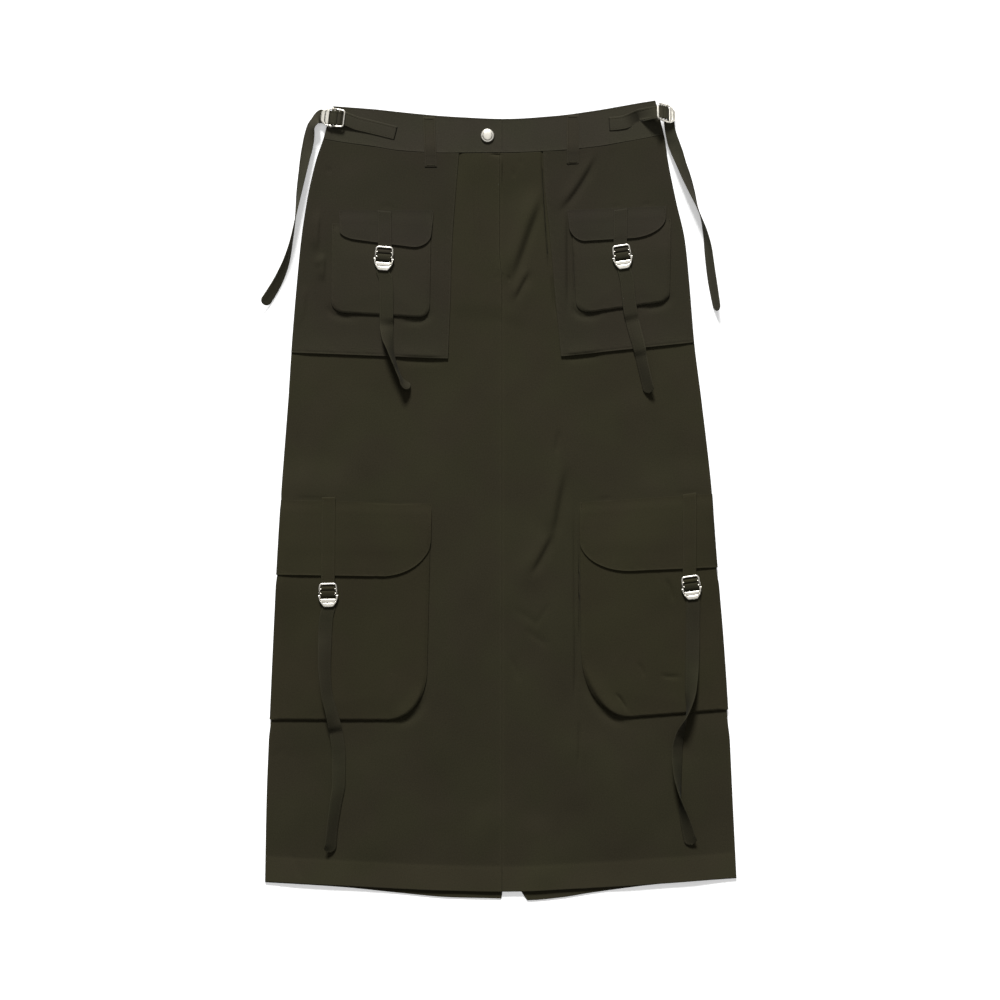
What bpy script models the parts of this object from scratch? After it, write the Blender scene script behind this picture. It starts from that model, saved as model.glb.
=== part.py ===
"""Cargo utility skirt, laid flat on a table with its front up.

Frame: +X is the right of the skirt as it is seen, +Y points to the waist, +Z off the table.
The back lies on the table, the front lies on the back, and pockets, flaps, straps and buckles
are built up on the front from the heights of what they lie on.
"""

import math

import bmesh
import bpy
import numpy as np
from mathutils import Matrix

MM = 0.001

# Driving sizes
CLOTH = 1.2 * MM  # wall of the front and back panels
POCKET_CLOTH = 1.0 * MM  # wall of patches, pockets, flaps and fly facing
BAND = 2.0 * MM  # waistband, two layers of cloth and a stiffener
WEBBING = 1.0 * MM  # thickness of a strap
GAP = 0.3 * MM  # between pieces that are sewn edge to edge
LAYER_GAP = 0.4 * MM  # between a piece and the cloth that it lies on
STRAP_WIDTH = 16.4 * MM
BELT_LOOP_WIDTH = 14.6 * MM
CROWN = 1.6 * MM  # the front stands off the back by this much inside its sides
CROWN_RAMP = 70 * MM
POCKET_WRAP = 60 * MM  # how far a lower pocket runs round the side onto the back
WRAP_ROOM = 66 * MM  # how far in from the side the back panel stays lifted over it
LIFT_RAMP = 45 * MM  # over which the back panel comes down again
POCKET_INSET = 3.2 * MM  # the side seam lies this far inside a wrapped pocket
UPPER_PUFF = 2.6 * MM  # how far a pocket's face stands off its ground
LOWER_PUFF = 3.0 * MM
FLAP_LIFT = 1.3 * MM  # how far a flap's free edge stands off the pocket
PATCH_LIFT = 1.0 * MM
LIFT_REACH = 26 * MM
EDGE_ROUND = 9 * MM  # a pocket's face comes down to its sewn edge over this length
MOUTH_RAMP = 45 * MM  # and rises from its flat mouth over this one
SEAM_RAMP = 14 * MM  # a flap climbs from its seam onto the pocket over this length
FLAP_GAP = 0.5 * MM  # and lies this far above the pocket
BUTTON_RADIUS = 8.2 * MM

# Buckle, in its own frame: Y along the strap towards the flap, Z off the cloth
ROD_RADIUS = 1.2 * MM
BAR_RADIUS = 0.9 * MM
FRAME_TOP = 13.4 * MM
FRAME_FOOT = 0.5 * MM
TOP_HALF_WIDTH = 9.8 * MM
FOOT_HALF_WIDTH = 10.4 * MM
FRAME_CORNER = 3.0 * MM
FLAP_BAR_AT = 7.2 * MM
TAIL_BAR_AT = 1.8 * MM
HINGE_AT = -1.1 * MM
LEVER_THICKNESS = 1.8 * MM
KNOB_RADIUS = 1.3 * MM
KNOB_LENGTH = 2.2 * MM
KNOB_AT = 11.0 * MM
STRAP_DEPTH = ROD_RADIUS + GAP + WEBBING  # underside of a strap below the rods' middle


def table(columns, *rows):
    """Rows of millimetres under named columns, in metres."""
    names = columns.split()
    return [dict(zip(names, [value * MM for value in row])) for row in rows]


def line_through(rows, of, along):
    """A smooth line through a table: column `of` as a function of column `along`.

    The slope at a row is the harmonic mean of its neighbours' chords, so it never overshoots.
    """
    rows = sorted(rows, key=lambda row: row[along])
    at = np.array([row[along] for row in rows])
    values = np.array([row[of] for row in rows])
    chords = np.diff(values) / np.diff(at)
    same_way = chords[1:] * chords[:-1] > 0
    blend = 2 * chords[1:] * chords[:-1] / np.where(same_way, chords[1:] + chords[:-1], 1)
    slopes = np.concatenate([chords[:1], np.where(same_way, blend, 0), chords[-1:]])

    def value(where):
        where = np.clip(where, at[0], at[-1])
        i = np.clip(np.searchsorted(at, where) - 1, 0, len(at) - 2)
        span = at[i + 1] - at[i]
        t = (where - at[i]) / span
        start = (2 * t**3 - 3 * t**2 + 1) * values[i] + (t**3 - 2 * t**2 + t) * span * slopes[i]
        end = (3 * t**2 - 2 * t**3) * values[i + 1] + (t**3 - t**2) * span * slopes[i + 1]
        return start + end

    return value


def ease(t):
    """0 below 0, 1 above 1, and an S-shaped rise between."""
    t = np.clip(t, 0, 1)
    return t * t * (3 - 2 * t)


def plateau(value, low, high, ramp):
    """1 from low to high, easing to 0 over ramp outside them."""
    return ease((value - low) / ramp + 1) * ease((high - value) / ramp + 1)


# The skirt's outline. Down is from the waist to the hem along Y; left and right are X.
SIDES = table(
    "y left right",
    (482, -198, 186),
    (474, -200, 188.4),
    (457, -206, 192.6),
    (434, -212.4, 198),
    (409, -220.8, 201.6),
    (361, -231.6, 211.2),
    (313, -238.8, 222),
    (265, -243.6, 227),
    (193, -249.6, 233),
    (121, -254.4, 242),
    (25, -261.6, 253),
    (-71, -267.6, 260.4),
    (-167, -272.4, 268.6),
    (-263, -276.6, 274.8),
    (-359, -280.4, 279.4),
    (-480, -282.6, 285.4),
)
WAIST = table(
    "x top seam",
    (-216, 475, 435),
    (-192, 473.4, 430.8),
    (-149, 470, 424.8),
    (-122, 467, 420.4),
    (-66, 461.8, 417.4),
    (2, 458.4, 417.6),
    (64, 462, 420),
    (116, 468.8, 425),
    (146, 474, 430),
    (168, 478, 434),
    (200, 483, 440.6),
)
HEM = table(
    "x front back",
    (-283, -457, -458),
    (-230, -460, -461),
    (-186, -462, -464),
    (-123, -465.4, -470.4),
    (-60, -468, -476),
    (2, -469, -477.6),
    (34, -468.6, -479.6),
    (72, -466.6, -476.4),
    (110, -464.6, -470.4),
    (192, -459.6, -460),
    (286, -452.4, -453),
)
CENTRE_FRONT = table("y x", (425, -0.4), (300, -0.4), (262, 2.2), (150, 2.4), (-470, 2.4))
CENTRE_BACK = table("y left right", (445, 2, 2), (-330, 2, 2), (-420, 2, 12), (-468, 3, 25), (-480, 1, 33))

left_outline = line_through(SIDES, "left", "y")
right_outline = line_through(SIDES, "right", "y")
waist_top = line_through(WAIST, "top", "x")
waist_seam = line_through(WAIST, "seam", "x")
front_hem = line_through(HEM, "front", "x")
back_hem = line_through(HEM, "back", "x")
centre_front = line_through(CENTRE_FRONT, "x", "y")
vent_left = line_through(CENTRE_BACK, "left", "y")
vent_right = line_through(CENTRE_BACK, "right", "y")

# The lower pockets' reach down the side seam, where the skirt's own edge is drawn in
WRAP_TOP = 11 * MM
WRAP_FLAP_FOOT = -97 * MM
WRAP_FOOT = -266 * MM


def inset(y):
    return POCKET_INSET * plateau(y, WRAP_FOOT, WRAP_TOP, LIFT_RAMP)


def left_side(y):
    return left_outline(y) + inset(y)


def right_side(y):
    return right_outline(y) - inset(y)


def side_distance(x, y):
    return np.minimum(x - left_side(y), right_side(y) - x)


def flap_lift(x, y):
    """Room under the back for a lower flap's wrapped end."""
    near_side = ease((WRAP_ROOM - side_distance(x, y)) / LIFT_RAMP + 1)
    return (POCKET_CLOTH + LAYER_GAP) * near_side * plateau(y, WRAP_FLAP_FOOT, WRAP_TOP, LIFT_RAMP)


def back_underside(x, y):
    """The back lies on the table and rises only over what is wrapped under it."""
    near_side = ease((WRAP_ROOM - side_distance(x, y)) / LIFT_RAMP + 1)
    pocket_lift = (POCKET_CLOTH + LAYER_GAP) * near_side * plateau(y, WRAP_FOOT, WRAP_TOP, LIFT_RAMP)
    return flap_lift(x, y) + pocket_lift


# The front's largest folds: soft ridges from one end to the other
FOLDS = table(
    "x y end_x end_y height width",
    (36, 372, 12, 262, 1.6, 15),
    (30, 262, 12, 214, 1.1, 15),
    (70, 60, 60, -40, 1.5, 17),
    (58, -30, 30, -104, 1.4, 17),
    (66, -120, 70, -240, 1.2, 17),
    (88, -280, 92, -370, 1.2, 18),
    (-60, 130, -78, -60, 1.1, 24),
    (-40, -150, -58, -330, 1.1, 26),
    (150, 130, 170, 30, 1.1, 24),
    (-160, 130, -176, 30, 1.1, 24),
    (-150, -300, -160, -440, 1.3, 22),
    (140, -300, 150, -440, 1.3, 22),
    (-20, -370, -26, -466, 1.1, 18),
    (46, -380, 52, -466, 1.2, 18),
    (222, -310, 232, -440, 1.1, 20),
)


def fold_height(x, y):
    """Each fold is a bell across its line that dies away past its two ends."""
    height = np.zeros(np.broadcast(x, y).shape)
    for fold in FOLDS:
        along = np.array([fold["end_x"] - fold["x"], fold["end_y"] - fold["y"]])
        length = np.hypot(*along)
        along /= length
        forward = (x - fold["x"]) * along[0] + (y - fold["y"]) * along[1]
        aside = (x - fold["x"]) * along[1] - (y - fold["y"]) * along[0]
        fade = plateau(forward, 0.25 * length, 0.75 * length, 0.35 * length)
        height += fold["height"] * fade * np.exp(-((aside / fold["width"]) ** 2))
    return height


def crown(x, y):
    inside = ease(side_distance(x, y) / CROWN_RAMP)
    return CROWN * inside + fold_height(x, y) * ease(side_distance(x, y) / (20 * MM))


def front_base(x, y):
    """Height at which the front lies on the back."""
    return back_underside(x, y) + CLOTH + LAYER_GAP + crown(x, y)


FLY_WIDTH = 33 * MM
FLY_FOOT = 262 * MM
FLY_RAMP = 26 * MM  # over which the front comes down beside the facing and below it
FLY_CLEARANCE = 6 * MM
FLY_FOOT_CLEARANCE = 22 * MM


def fly_lift(x, y):
    """The left front rides over the fly facing behind its closing edge."""
    room = POCKET_CLOTH + LAYER_GAP
    above = ease((y - FLY_FOOT + FLY_FOOT_CLEARANCE) / FLY_RAMP + 1)
    return room * plateau(x, -FLY_WIDTH - FLY_CLEARANCE, 3 * MM, FLY_RAMP) * above


def left_front(x, y):
    return front_base(x, y) + fly_lift(x, y)


def front_top(x, y):
    return front_base(x, y) + fly_lift(x, y) * (x < centre_front(y)) + CLOTH


def band_base(x, y):
    return BAND + LAYER_GAP + crown(x, y)


OVERLAP = 36 * MM  # the right waistband's underlap beneath the left one's end
OVERLAP_RAMP = 24 * MM


def left_band(x, y):
    return band_base(x, y) + (BAND + LAYER_GAP) * ease((x + OVERLAP) / OVERLAP_RAMP + 1)


# Laying out a flat piece


def straight(first, second):
    """A straight edge through two points, as a function of the other coordinate."""
    (at, value), (end_at, end_value) = first, second
    slope = (end_value - value) / (end_at - at)
    return lambda where: (value + slope * (where / MM - at)) * MM


def evenly(count):
    return np.linspace(0, 1, count + 1)


def rows_round(count, corner_share):
    """Shares of a height, even down to its rounded corners and closer through them."""
    turn = np.linspace(0, math.pi / 2, 6)
    through_corners = 1 - corner_share * (1 - np.sin(turn))
    return np.concatenate([np.linspace(0, 1 - corner_share, count)[:-1], through_corners])


def columns_round(count, width, left=True, right=True):
    """Shares of a width, even but for two lines close inside each edge that is rounded."""
    near = np.array([EDGE_ROUND / 3, EDGE_ROUND]) / width
    first = np.concatenate([[0], near]) if left else np.zeros(1)
    last = np.concatenate([1 - near[::-1], [1]]) if right else np.ones(1)
    return np.concatenate([first, np.linspace(first[-1], last[0], count + 1)[1:-1], last])


def lay_out(left, right, top, bottom, u, v, left_corner=(0, 0), right_corner=(0, 0)):
    """X and Y of a piece between four edges, with quarter ellipses at its lower corners.

    `u` are the columns' shares from the left edge to the right one, and `v` the rows' shares
    from the top edge down. A corner is (width, height) in metres.
    """
    height = float(top(0.0) - bottom(0.0))
    u, v = np.array(u)[None, :], np.array(v)[:, None]
    rise = (1 - v) * height

    def drawn_in(corner):
        if corner[1] == 0:
            return 0 * v
        depth = np.clip((corner[1] - rise) / corner[1], 0, 1)
        return corner[0] * (1 - np.sqrt(1 - depth**2))

    y = top(0.0) - v * height + 0 * u
    x = 0 * y
    for _ in range(6):
        start = left(y) + drawn_in(left_corner)
        x = start + (right(y) - drawn_in(right_corner) - start) * u
        y = top(x) + (bottom(x) - top(x)) * v
    return x, y


def surface(x, y, height):
    return np.stack([x, y, height(x, y)], axis=-1)


# Making objects

PART = bpy.data.collections.new("cargo_utility_skirt")
CUTTERS = bpy.data.collections.new("cutters")


def clear_scene():
    for obj in list(bpy.data.objects):
        bpy.data.objects.remove(obj)
    bpy.context.scene.collection.children.link(PART)
    bpy.context.scene.collection.children.link(CUTTERS)


LOOKS = {
    "cloth": {"colour": (0.036, 0.031, 0.018, 1), "roughness": 0.9, "metallic": 0.0},
    "webbing": {"colour": (0.040, 0.035, 0.021, 1), "roughness": 0.85, "metallic": 0.0},
    "nickel": {"colour": (0.68, 0.67, 0.62, 1), "roughness": 0.28, "metallic": 1.0},
}


def dress(obj, look):
    """Gives an object a material of its own."""
    material = bpy.data.materials.new(obj.name)
    material.use_nodes = True
    shader = material.node_tree.nodes["Principled BSDF"]
    shader.inputs["Base Color"].default_value = LOOKS[look]["colour"]
    shader.inputs["Roughness"].default_value = LOOKS[look]["roughness"]
    shader.inputs["Metallic"].default_value = LOOKS[look]["metallic"]
    obj.data.materials.clear()
    obj.data.materials.append(material)


def add_object(name, mesh, look):
    obj = bpy.data.objects.new(name, mesh)
    PART.objects.link(obj)
    dress(obj, look)
    return obj


def add_wall(name, points, thickness, look="cloth"):
    """A cloth wall: an open grid of points, thickened on the side that its faces look to."""
    rows, columns = points.shape[:2]
    index = np.arange(rows * columns).reshape(rows, columns)
    corners = (index[:-1, :-1], index[1:, :-1], index[1:, 1:], index[:-1, 1:])
    faces = np.stack(corners, axis=-1).reshape(-1, 4)
    mesh = bpy.data.meshes.new(name)
    mesh.from_pydata(points.reshape(-1, 3).tolist(), [], faces.tolist())
    obj = add_object(name, mesh, look)
    solidify = obj.modifiers.new("Wall", "SOLIDIFY")
    solidify.thickness = thickness
    solidify.offset = 1
    return obj


# Back. The panels' rows are heights above the frame's middle and the columns distances from the
# side seam, closer where the panels rise over a wrapped pocket. The back has every line that it
# needs of the front's, so that the two walls bend along the same lines.
FRONT_ROWS = (436, 414, 390, 366, 342, 318, 294, 270, 246, 222, 190, 156, 120, 88, 56, 41, 26, 11)
FRONT_ROWS += (-20, -58, -97, -112, -127, -142, -172, -204, -235, -266, -281, -296, -311, -340, -370)
FRONT_ROWS += (-400, -430, -456)
BACK_ROWS = (436, 300, 180, 56, 41, 26, 11, -97, -112, -127, -142, -266, -281, -296, -311, -400, -456)
FRONT_COLUMNS = (0, 16, 34, 52, 70, 85, 100, 118, 140, 162, 184, 204, 220, 236, 252, 268)
BACK_COLUMNS = (0, 34, 70, 85, 100, 118, 190, 268)


def shares(lines):
    lines = np.array(lines)
    return (lines - lines[0]) / (lines[-1] - lines[0])


def make_back():
    seam = lambda x: waist_seam(x) - GAP / 2
    columns, rows = shares(BACK_COLUMNS), shares(BACK_ROWS)
    x, y = lay_out(left_side, lambda y: vent_left(y) - GAP / 2, seam, back_hem, columns, rows)
    seam_x = x[0]
    add_wall("back_panel_left", surface(x, y, back_underside), CLOTH)
    columns = 1 - columns[::-1]
    x, y = lay_out(lambda y: vent_right(y) + GAP / 2, right_side, seam, back_hem, columns, rows)
    seam_x = np.concatenate([seam_x, x[0]])
    add_wall("back_panel_right", surface(x, y, back_underside), CLOTH)
    top, foot = lambda x: waist_top(x) - 1 * MM, lambda x: waist_seam(x) + GAP / 2
    x, y = lay_out(left_side, right_side, top, foot, shares(seam_x), evenly(2))
    add_wall("waistband_back", surface(x, y, lambda x, y: 0 * x), BAND)


# Front


def make_front():
    seam = lambda x: waist_seam(x) - GAP / 2
    columns, rows = shares(FRONT_COLUMNS), shares(FRONT_ROWS)
    x, y = lay_out(left_side, lambda y: centre_front(y) - GAP / 2, seam, front_hem, columns, rows)
    add_wall("front_panel_left", surface(x, y, left_front), CLOTH)
    columns = 1 - columns[::-1]
    x, y = lay_out(lambda y: centre_front(y) + GAP / 2, right_side, seam, front_hem, columns, rows)
    add_wall("front_panel_right", surface(x, y, front_base), CLOTH)
    height = waist_seam(0.0) - FLY_FOOT
    x, y = lay_out(
        lambda y: 0 * y - FLY_WIDTH,
        lambda y: centre_front(y) - 1 * MM,
        lambda x: waist_seam(x) - GAP,
        lambda x: 0 * x + FLY_FOOT,
        evenly(2),
        rows_round(5, 62 * MM / height),
        left_corner=(28 * MM, 62 * MM),
    )
    add_wall("fly_facing", surface(x, y, front_base), POCKET_CLOTH)


def make_waistband():
    foot = lambda x: waist_seam(x) + GAP / 2
    x, y = lay_out(left_side, lambda y: 0 * y + 2.4 * MM, waist_top, foot, evenly(18), evenly(2))
    add_wall("waistband_front_left", surface(x, y, left_band), BAND)
    x, y = lay_out(lambda y: 0 * y - OVERLAP + 3 * MM, right_side, waist_top, foot, evenly(18), evenly(2))
    add_wall("waistband_front_right", surface(x, y, band_base), BAND)


def band_top(x, y):
    return np.where(x < 2.4 * MM, left_band(x, y), band_base(x, y)) + BAND


# Upper patches

PATCH_EDGES = table(
    "y left right",
    (425, -48.4, 51.2),
    (373, -52.8, 54),
    (331, -56, 58.6),
    (299, -57.8, 61.6),
    (238, -59.6, 67.2),
    (171, -62.4, 73.4),
)
PATCH_FEET = {"left": straight((-252, 178), (-62.4, 170.6)), "right": straight((73, 173.2), (235, 190.4))}
left_patch_edge = line_through(PATCH_EDGES, "left", "y")
right_patch_edge = line_through(PATCH_EDGES, "right", "y")


def patch_base(x, y):
    """A patch lies on the front and lifts a little at its foot."""
    foot = np.where(x < 0, PATCH_FEET["left"](x), PATCH_FEET["right"](x))
    inside = ease(side_distance(x, y) / LIFT_REACH)
    lift = PATCH_LIFT * ease((y - foot - LIFT_REACH) / -LIFT_REACH) * inside
    return front_top(x, y) + LAYER_GAP + lift


def make_patches():
    seam = lambda x: waist_seam(x) - GAP / 2
    x, y = lay_out(left_side, left_patch_edge, seam, PATCH_FEET["left"], evenly(11), evenly(11))
    add_wall("upper_patch_left", surface(x, y, patch_base), POCKET_CLOTH)
    x, y = lay_out(right_patch_edge, right_side, seam, PATCH_FEET["right"], evenly(11), evenly(11))
    add_wall("upper_patch_right", surface(x, y, patch_base), POCKET_CLOTH)


def patch_top(x, y):
    on_left = (x < left_patch_edge(y)) & (y > PATCH_FEET["left"](x))
    on_right = (x > right_patch_edge(y)) & (y > PATCH_FEET["right"](x))
    return np.where(on_left | on_right, patch_base(x, y) + POCKET_CLOTH, front_top(x, y))


# Pockets. Edges are pairs of (y, x) points for a side and (x, y) points for a top or foot, in mm;
# corners are (width, height) of the rounding.

UPPER_POCKETS = {
    "left": {
        "left": ((331, -201.6), (240, -202)),
        "right": ((331, -82.8), (240, -84.6)),
        "top": ((-200, 333), (-83, 333)),
        "foot": ((-200, 226.6), (-86, 219.8)),
        "corners": ((17, 12), (12, 15)),
    },
    "right": {
        "left": ((331, 86.4), (240, 91.6)),
        "right": ((331, 205), (244, 203)),
        "top": ((86, 334), (205, 338)),
        "foot": ((92, 224), (203, 240)),
        "corners": ((20, 13), (13, 10)),
    },
}
UPPER_FLAPS = {
    "left": {
        "left": ((349, -193), (318, -192)),
        "right": ((349, -79.2), (312, -82.8)),
        "top": ((-193, 349), (-79, 349)),
        "foot": ((-192, 315.4), (-82, 301)),
        "corners": ((20, 13), (24, 23)),
    },
    "right": {
        "left": ((349, 80.4), (312, 85)),
        "right": ((354, 199.4), (325, 198.6)),
        "top": ((80, 349), (200, 354)),
        "foot": ((84, 310.4), (199, 317)),
        "corners": ((18, 19), (42, 25)),
    },
}
LOWER_POCKETS = {
    "left": {
        "inner": ((-14, -83.4), (-200, -87.8)),
        "top": ((-262, -14), (-83, -18)),
        "foot": ((-276, -262.4), (-90, -263)),
        "corner": (46, 58),
    },
    "right": {
        "inner": ((-14, 96.4), (-200, 98)),
        "top": ((96, -16), (253, -8)),
        "foot": ((98, -264), (274, -250)),
        "corner": (60, 84),
    },
}
LOWER_FLAPS = {
    "left": {
        "inner": ((-8, -82), (-50, -82.8)),
        "top": ((-262, 1.2), (-82, -3.4)),
        "foot": ((-266, -88.6), (-82, -91.4)),
        "corner": (60, 45),
    },
    "right": {
        "inner": ((-8, 95.6), (-50, 96)),
        "top": ((96, -1.6), (253, 8.4)),
        "foot": ((96, -86.6), (262, -79.6)),
        "corner": (62, 38),
    },
}


def corner(sizes):
    return tuple(size * MM for size in sizes)


def edge_distance(x, y, edges, corners):
    """Distance inwards from the foot and the sides of a pocket, round its lower corners.

    Within a corner's ellipse it follows the ellipse. A side that runs round the skirt has no
    corner and comes down four times as softly.
    """
    foot = y - edges["foot"](x)
    nearest = foot
    for side, inwards in (("left", x - edges["left"](y)), ("right", edges["right"](y) - x)):
        width, height = corners[side]
        if width == 0:
            nearest = np.minimum(nearest, inwards / 4)
            continue
        from_side, from_foot = np.maximum(1 - inwards / width, 0), np.maximum(1 - foot / height, 0)
        radius = np.maximum(np.hypot(from_side, from_foot), 1e-6)
        scale = (width * from_side**2 + height * from_foot**2) / radius**2
        in_corner = (from_side > 0) & (from_foot > 0)
        nearest = np.where(in_corner, (1 - radius) * scale, np.minimum(nearest, inwards))
    return np.maximum(nearest, 0)


def puff(x, y, edges, corners, height):
    """A pocket's face: it rises steeply from its sewn edges and slowly from its mouth."""
    round_edge = 1 - (1 - np.clip(edge_distance(x, y, edges, corners) / EDGE_ROUND, 0, 1)) ** 2
    return height * round_edge * ease((edges["top"](x) - y) / MOUTH_RAMP)


def upper_edges(piece):
    return {name: straight(*piece[name]) for name in ("left", "right", "top", "foot")}


def lower_edges(piece, side):
    edges = {name: straight(*piece[name]) for name in ("top", "foot")}
    edges["left"] = left_side if side == "left" else straight(*piece["inner"])
    edges["right"] = straight(*piece["inner"]) if side == "left" else right_side
    return edges


def within(x, y, edges, margin=1 * MM):
    inside_x = (x > edges["left"](y) - margin) & (x < edges["right"](y) + margin)
    return inside_x & (y < edges["top"](x) + margin) & (y > edges["foot"](x) - margin)


def pocket_heights(pocket, corners, flap, ground, height):
    """Undersides of a pocket and of the flap that climbs from its seam onto the pocket."""

    def pocket_base(x, y):
        return ground(x, y) + LAYER_GAP + puff(x, y, pocket, corners, height)

    def flap_base(x, y):
        down = flap["top"](x) - y
        lift = FLAP_LIFT * ease((y - flap["foot"](x) - LIFT_REACH) / -LIFT_REACH)
        lift = lift * ease(side_distance(x, y) / LIFT_REACH)
        rise = POCKET_CLOTH + FLAP_GAP + puff(x, y, pocket, corners, height) + lift
        return ground(x, y) + LAYER_GAP + ease(down / SEAM_RAMP) * rise

    return pocket_base, flap_base


# Every pocket with its flap: edges, undersides and the ground that they lie on
POCKET_SETS = {}


def plan_pockets():
    for side in ("left", "right"):
        pocket, flap = upper_edges(UPPER_POCKETS[side]), upper_edges(UPPER_FLAPS[side])
        corners = dict(zip(("left", "right"), map(corner, UPPER_POCKETS[side]["corners"])))
        heights = pocket_heights(pocket, corners, flap, patch_top, UPPER_PUFF)
        POCKET_SETS["upper_" + side] = {"pocket": pocket, "flap": flap, "heights": heights}
        pocket, flap = lower_edges(LOWER_POCKETS[side], side), lower_edges(LOWER_FLAPS[side], side)
        inner = "right" if side == "left" else "left"
        corners = {side: (0, 0), inner: corner(LOWER_POCKETS[side]["corner"])}
        heights = pocket_heights(pocket, corners, flap, front_top, LOWER_PUFF)
        POCKET_SETS["lower_" + side] = {"pocket": pocket, "flap": flap, "heights": heights}


def stack_top(x, y):
    """Height of the highest cloth at a point of the front."""
    height = np.where(y > waist_seam(x), band_top(x, y), patch_top(x, y))
    for pocket_set in POCKET_SETS.values():
        pocket_base, flap_base = pocket_set["heights"]
        for edges, base in ((pocket_set["pocket"], pocket_base), (pocket_set["flap"], flap_base)):
            height = np.where(within(x, y, edges), np.maximum(height, base(x, y) + POCKET_CLOTH), height)
    outside = side_distance(x, y) < -3 * MM
    return np.where(outside, 0, height)


UPPER_POCKET_MIDDLE = 280 * MM  # heights at which the pockets' widths are taken
LOWER_POCKET_MIDDLE = -100 * MM


def make_upper_pockets():
    for side in ("left", "right"):
        pocket_set = POCKET_SETS["upper_" + side]
        pieces = (("pocket", UPPER_POCKETS[side], 5), ("flap", UPPER_FLAPS[side], 4))
        for (kind, piece, rows), base in zip(pieces, pocket_set["heights"]):
            edges = pocket_set[kind]
            corners = [corner(sizes) for sizes in piece["corners"]]
            height = float(edges["top"](0.0) - edges["foot"](0.0))
            v = rows_round(rows, max(size[1] for size in corners) / height)
            width = edges["right"](UPPER_POCKET_MIDDLE) - edges["left"](UPPER_POCKET_MIDDLE)
            u = columns_round(4, float(width))
            x, y = lay_out(edges["left"], edges["right"], edges["top"], edges["foot"], u, v, *corners)
            add_wall(f"upper_{kind}_{side}", surface(x, y, base), POCKET_CLOTH)


def wrap_round(side, flat, under_height):
    """Adds to a flat grid the turn round the skirt's side and the reach onto the back.

    The turn is half a circle about the side seam, from the front's height at the seam down to
    `under_height`, and the reach runs POCKET_WRAP inwards beneath the back panel.
    """
    seam_points = flat[:, 0] if side == "left" else flat[:, -1]
    outward = -1 if side == "left" else 1
    seam_x, seam_y, top = seam_points[:, 0], seam_points[:, 1], seam_points[:, 2]
    under = under_height(seam_x, seam_y)
    radius, middle = (top - under) / 2, (top + under) / 2
    turn = np.linspace(0, math.pi, 6)[1:]
    arc_x = seam_x[:, None] + outward * radius[:, None] * np.sin(turn)
    arc_z = middle[:, None] + radius[:, None] * np.cos(turn)
    arc = np.stack([arc_x, seam_y[:, None] + 0 * arc_x, arc_z], axis=-1)
    reach_x = seam_x[:, None] - outward * POCKET_WRAP
    reach_y = seam_y[:, None] + 0 * reach_x
    reach = np.stack([reach_x, reach_y, under_height(reach_x, reach_y)], axis=-1)
    wrapped = np.concatenate([arc, reach], axis=1)
    if side == "left":
        return np.concatenate([wrapped[:, ::-1], flat], axis=1)
    return np.concatenate([flat, wrapped], axis=1)


def make_lower_pockets():
    for side in ("left", "right"):
        pocket_set = POCKET_SETS["lower_" + side]
        unders = (lambda x, y: flap_lift(x, y) + POCKET_CLOTH, lambda x, y: 0 * x + POCKET_CLOTH)
        pieces = (("pocket", LOWER_POCKETS[side], 9), ("flap", LOWER_FLAPS[side], 5))
        for (kind, piece, rows), base, under in zip(pieces, pocket_set["heights"], unders):
            edges = pocket_set[kind]
            rounding = corner(piece["corner"])
            corners = {("right" if side == "left" else "left") + "_corner": rounding}
            v = rows_round(rows, rounding[1] / float(edges["top"](0.0) - edges["foot"](0.0)))
            width = edges["right"](LOWER_POCKET_MIDDLE) - edges["left"](LOWER_POCKET_MIDDLE)
            u = columns_round(7, float(width), left=side == "right", right=side == "left")
            x, y = lay_out(edges["left"], edges["right"], edges["top"], edges["foot"], u, v, **corners)
            add_wall(f"lower_{kind}_{side}", wrap_round(side, surface(x, y, base), under), POCKET_CLOTH)


# Belt loops, each from (x, y) at the top to (x, y) at the foot of its middle line
BELT_LOOPS = {"left": ((-85.4, 461), (-82.8, 400)), "right": ((87.4, 463.4), (87.4, 404))}


def make_belt_loops():
    for side, (top, foot) in BELT_LOOPS.items():
        down = np.linspace(0, 1, 11)[:, None]
        x = (top[0] + (foot[0] - top[0]) * down) * MM + BELT_LOOP_WIDTH * np.array([-0.5, 0.5])
        y = (top[1] + (foot[1] - top[1]) * down) * MM + 0 * x
        z = resting_heights(x.mean(axis=1), y[:, 0], BELT_LOOP_WIDTH)[:, None] + 0 * x
        add_wall(f"belt_loop_{side}", np.stack([x, y, z], axis=-1), POCKET_CLOTH)


# Straps and buckles


def resting_heights(x, y, width, reach=5 * MM):
    """Height at each point of a path at which a strip clears all that lies near it."""
    offsets = np.linspace(-1, 1, 7)
    across, along = np.meshgrid(offsets * width / 2, offsets * reach)
    near = stack_top(x[:, None] + across.ravel(), y[:, None] + along.ravel())
    return near.max(axis=1) + LAYER_GAP


BUCKLES = {
    "upper_left": {"at": (-139.2, 290.6), "turn": -4.5},
    "upper_right": {"at": (146.6, 292.6), "turn": 8.5},
    "lower_left": {"at": (-205.8, -112.6), "turn": 1},
    "lower_right": {"at": (229.2, -103.6), "turn": 8},
}
FLAP_STRAP_TOPS = {
    "upper_left": (-138.6, 348),
    "upper_right": (144.6, 350),
    "lower_left": (-205.6, 4.8),
    "lower_right": (227.6, 9.4),
}
HALF_BUCKLE = 13 * MM
BUCKLE_WIDTH = 20 * MM
STRAP_BEND = 8 * MM  # a strap keeps the buckle's slope this far beyond it
BUCKLE_MARGIN = 2 * MM

# Side buckles lie at the ends of the waistband: middle of the buckle, its turn in plan, the dip of
# its tip and its roll about the X axis
SIDE_BUCKLES = {
    "side_left": {"at": (-200.4, 459.8, 8.6), "turn": -97, "dip": 6, "roll": 0},
    "side_right": {"at": (199.0, 464.4, 12.8), "turn": 90, "dip": 40, "roll": -14},
}


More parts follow.
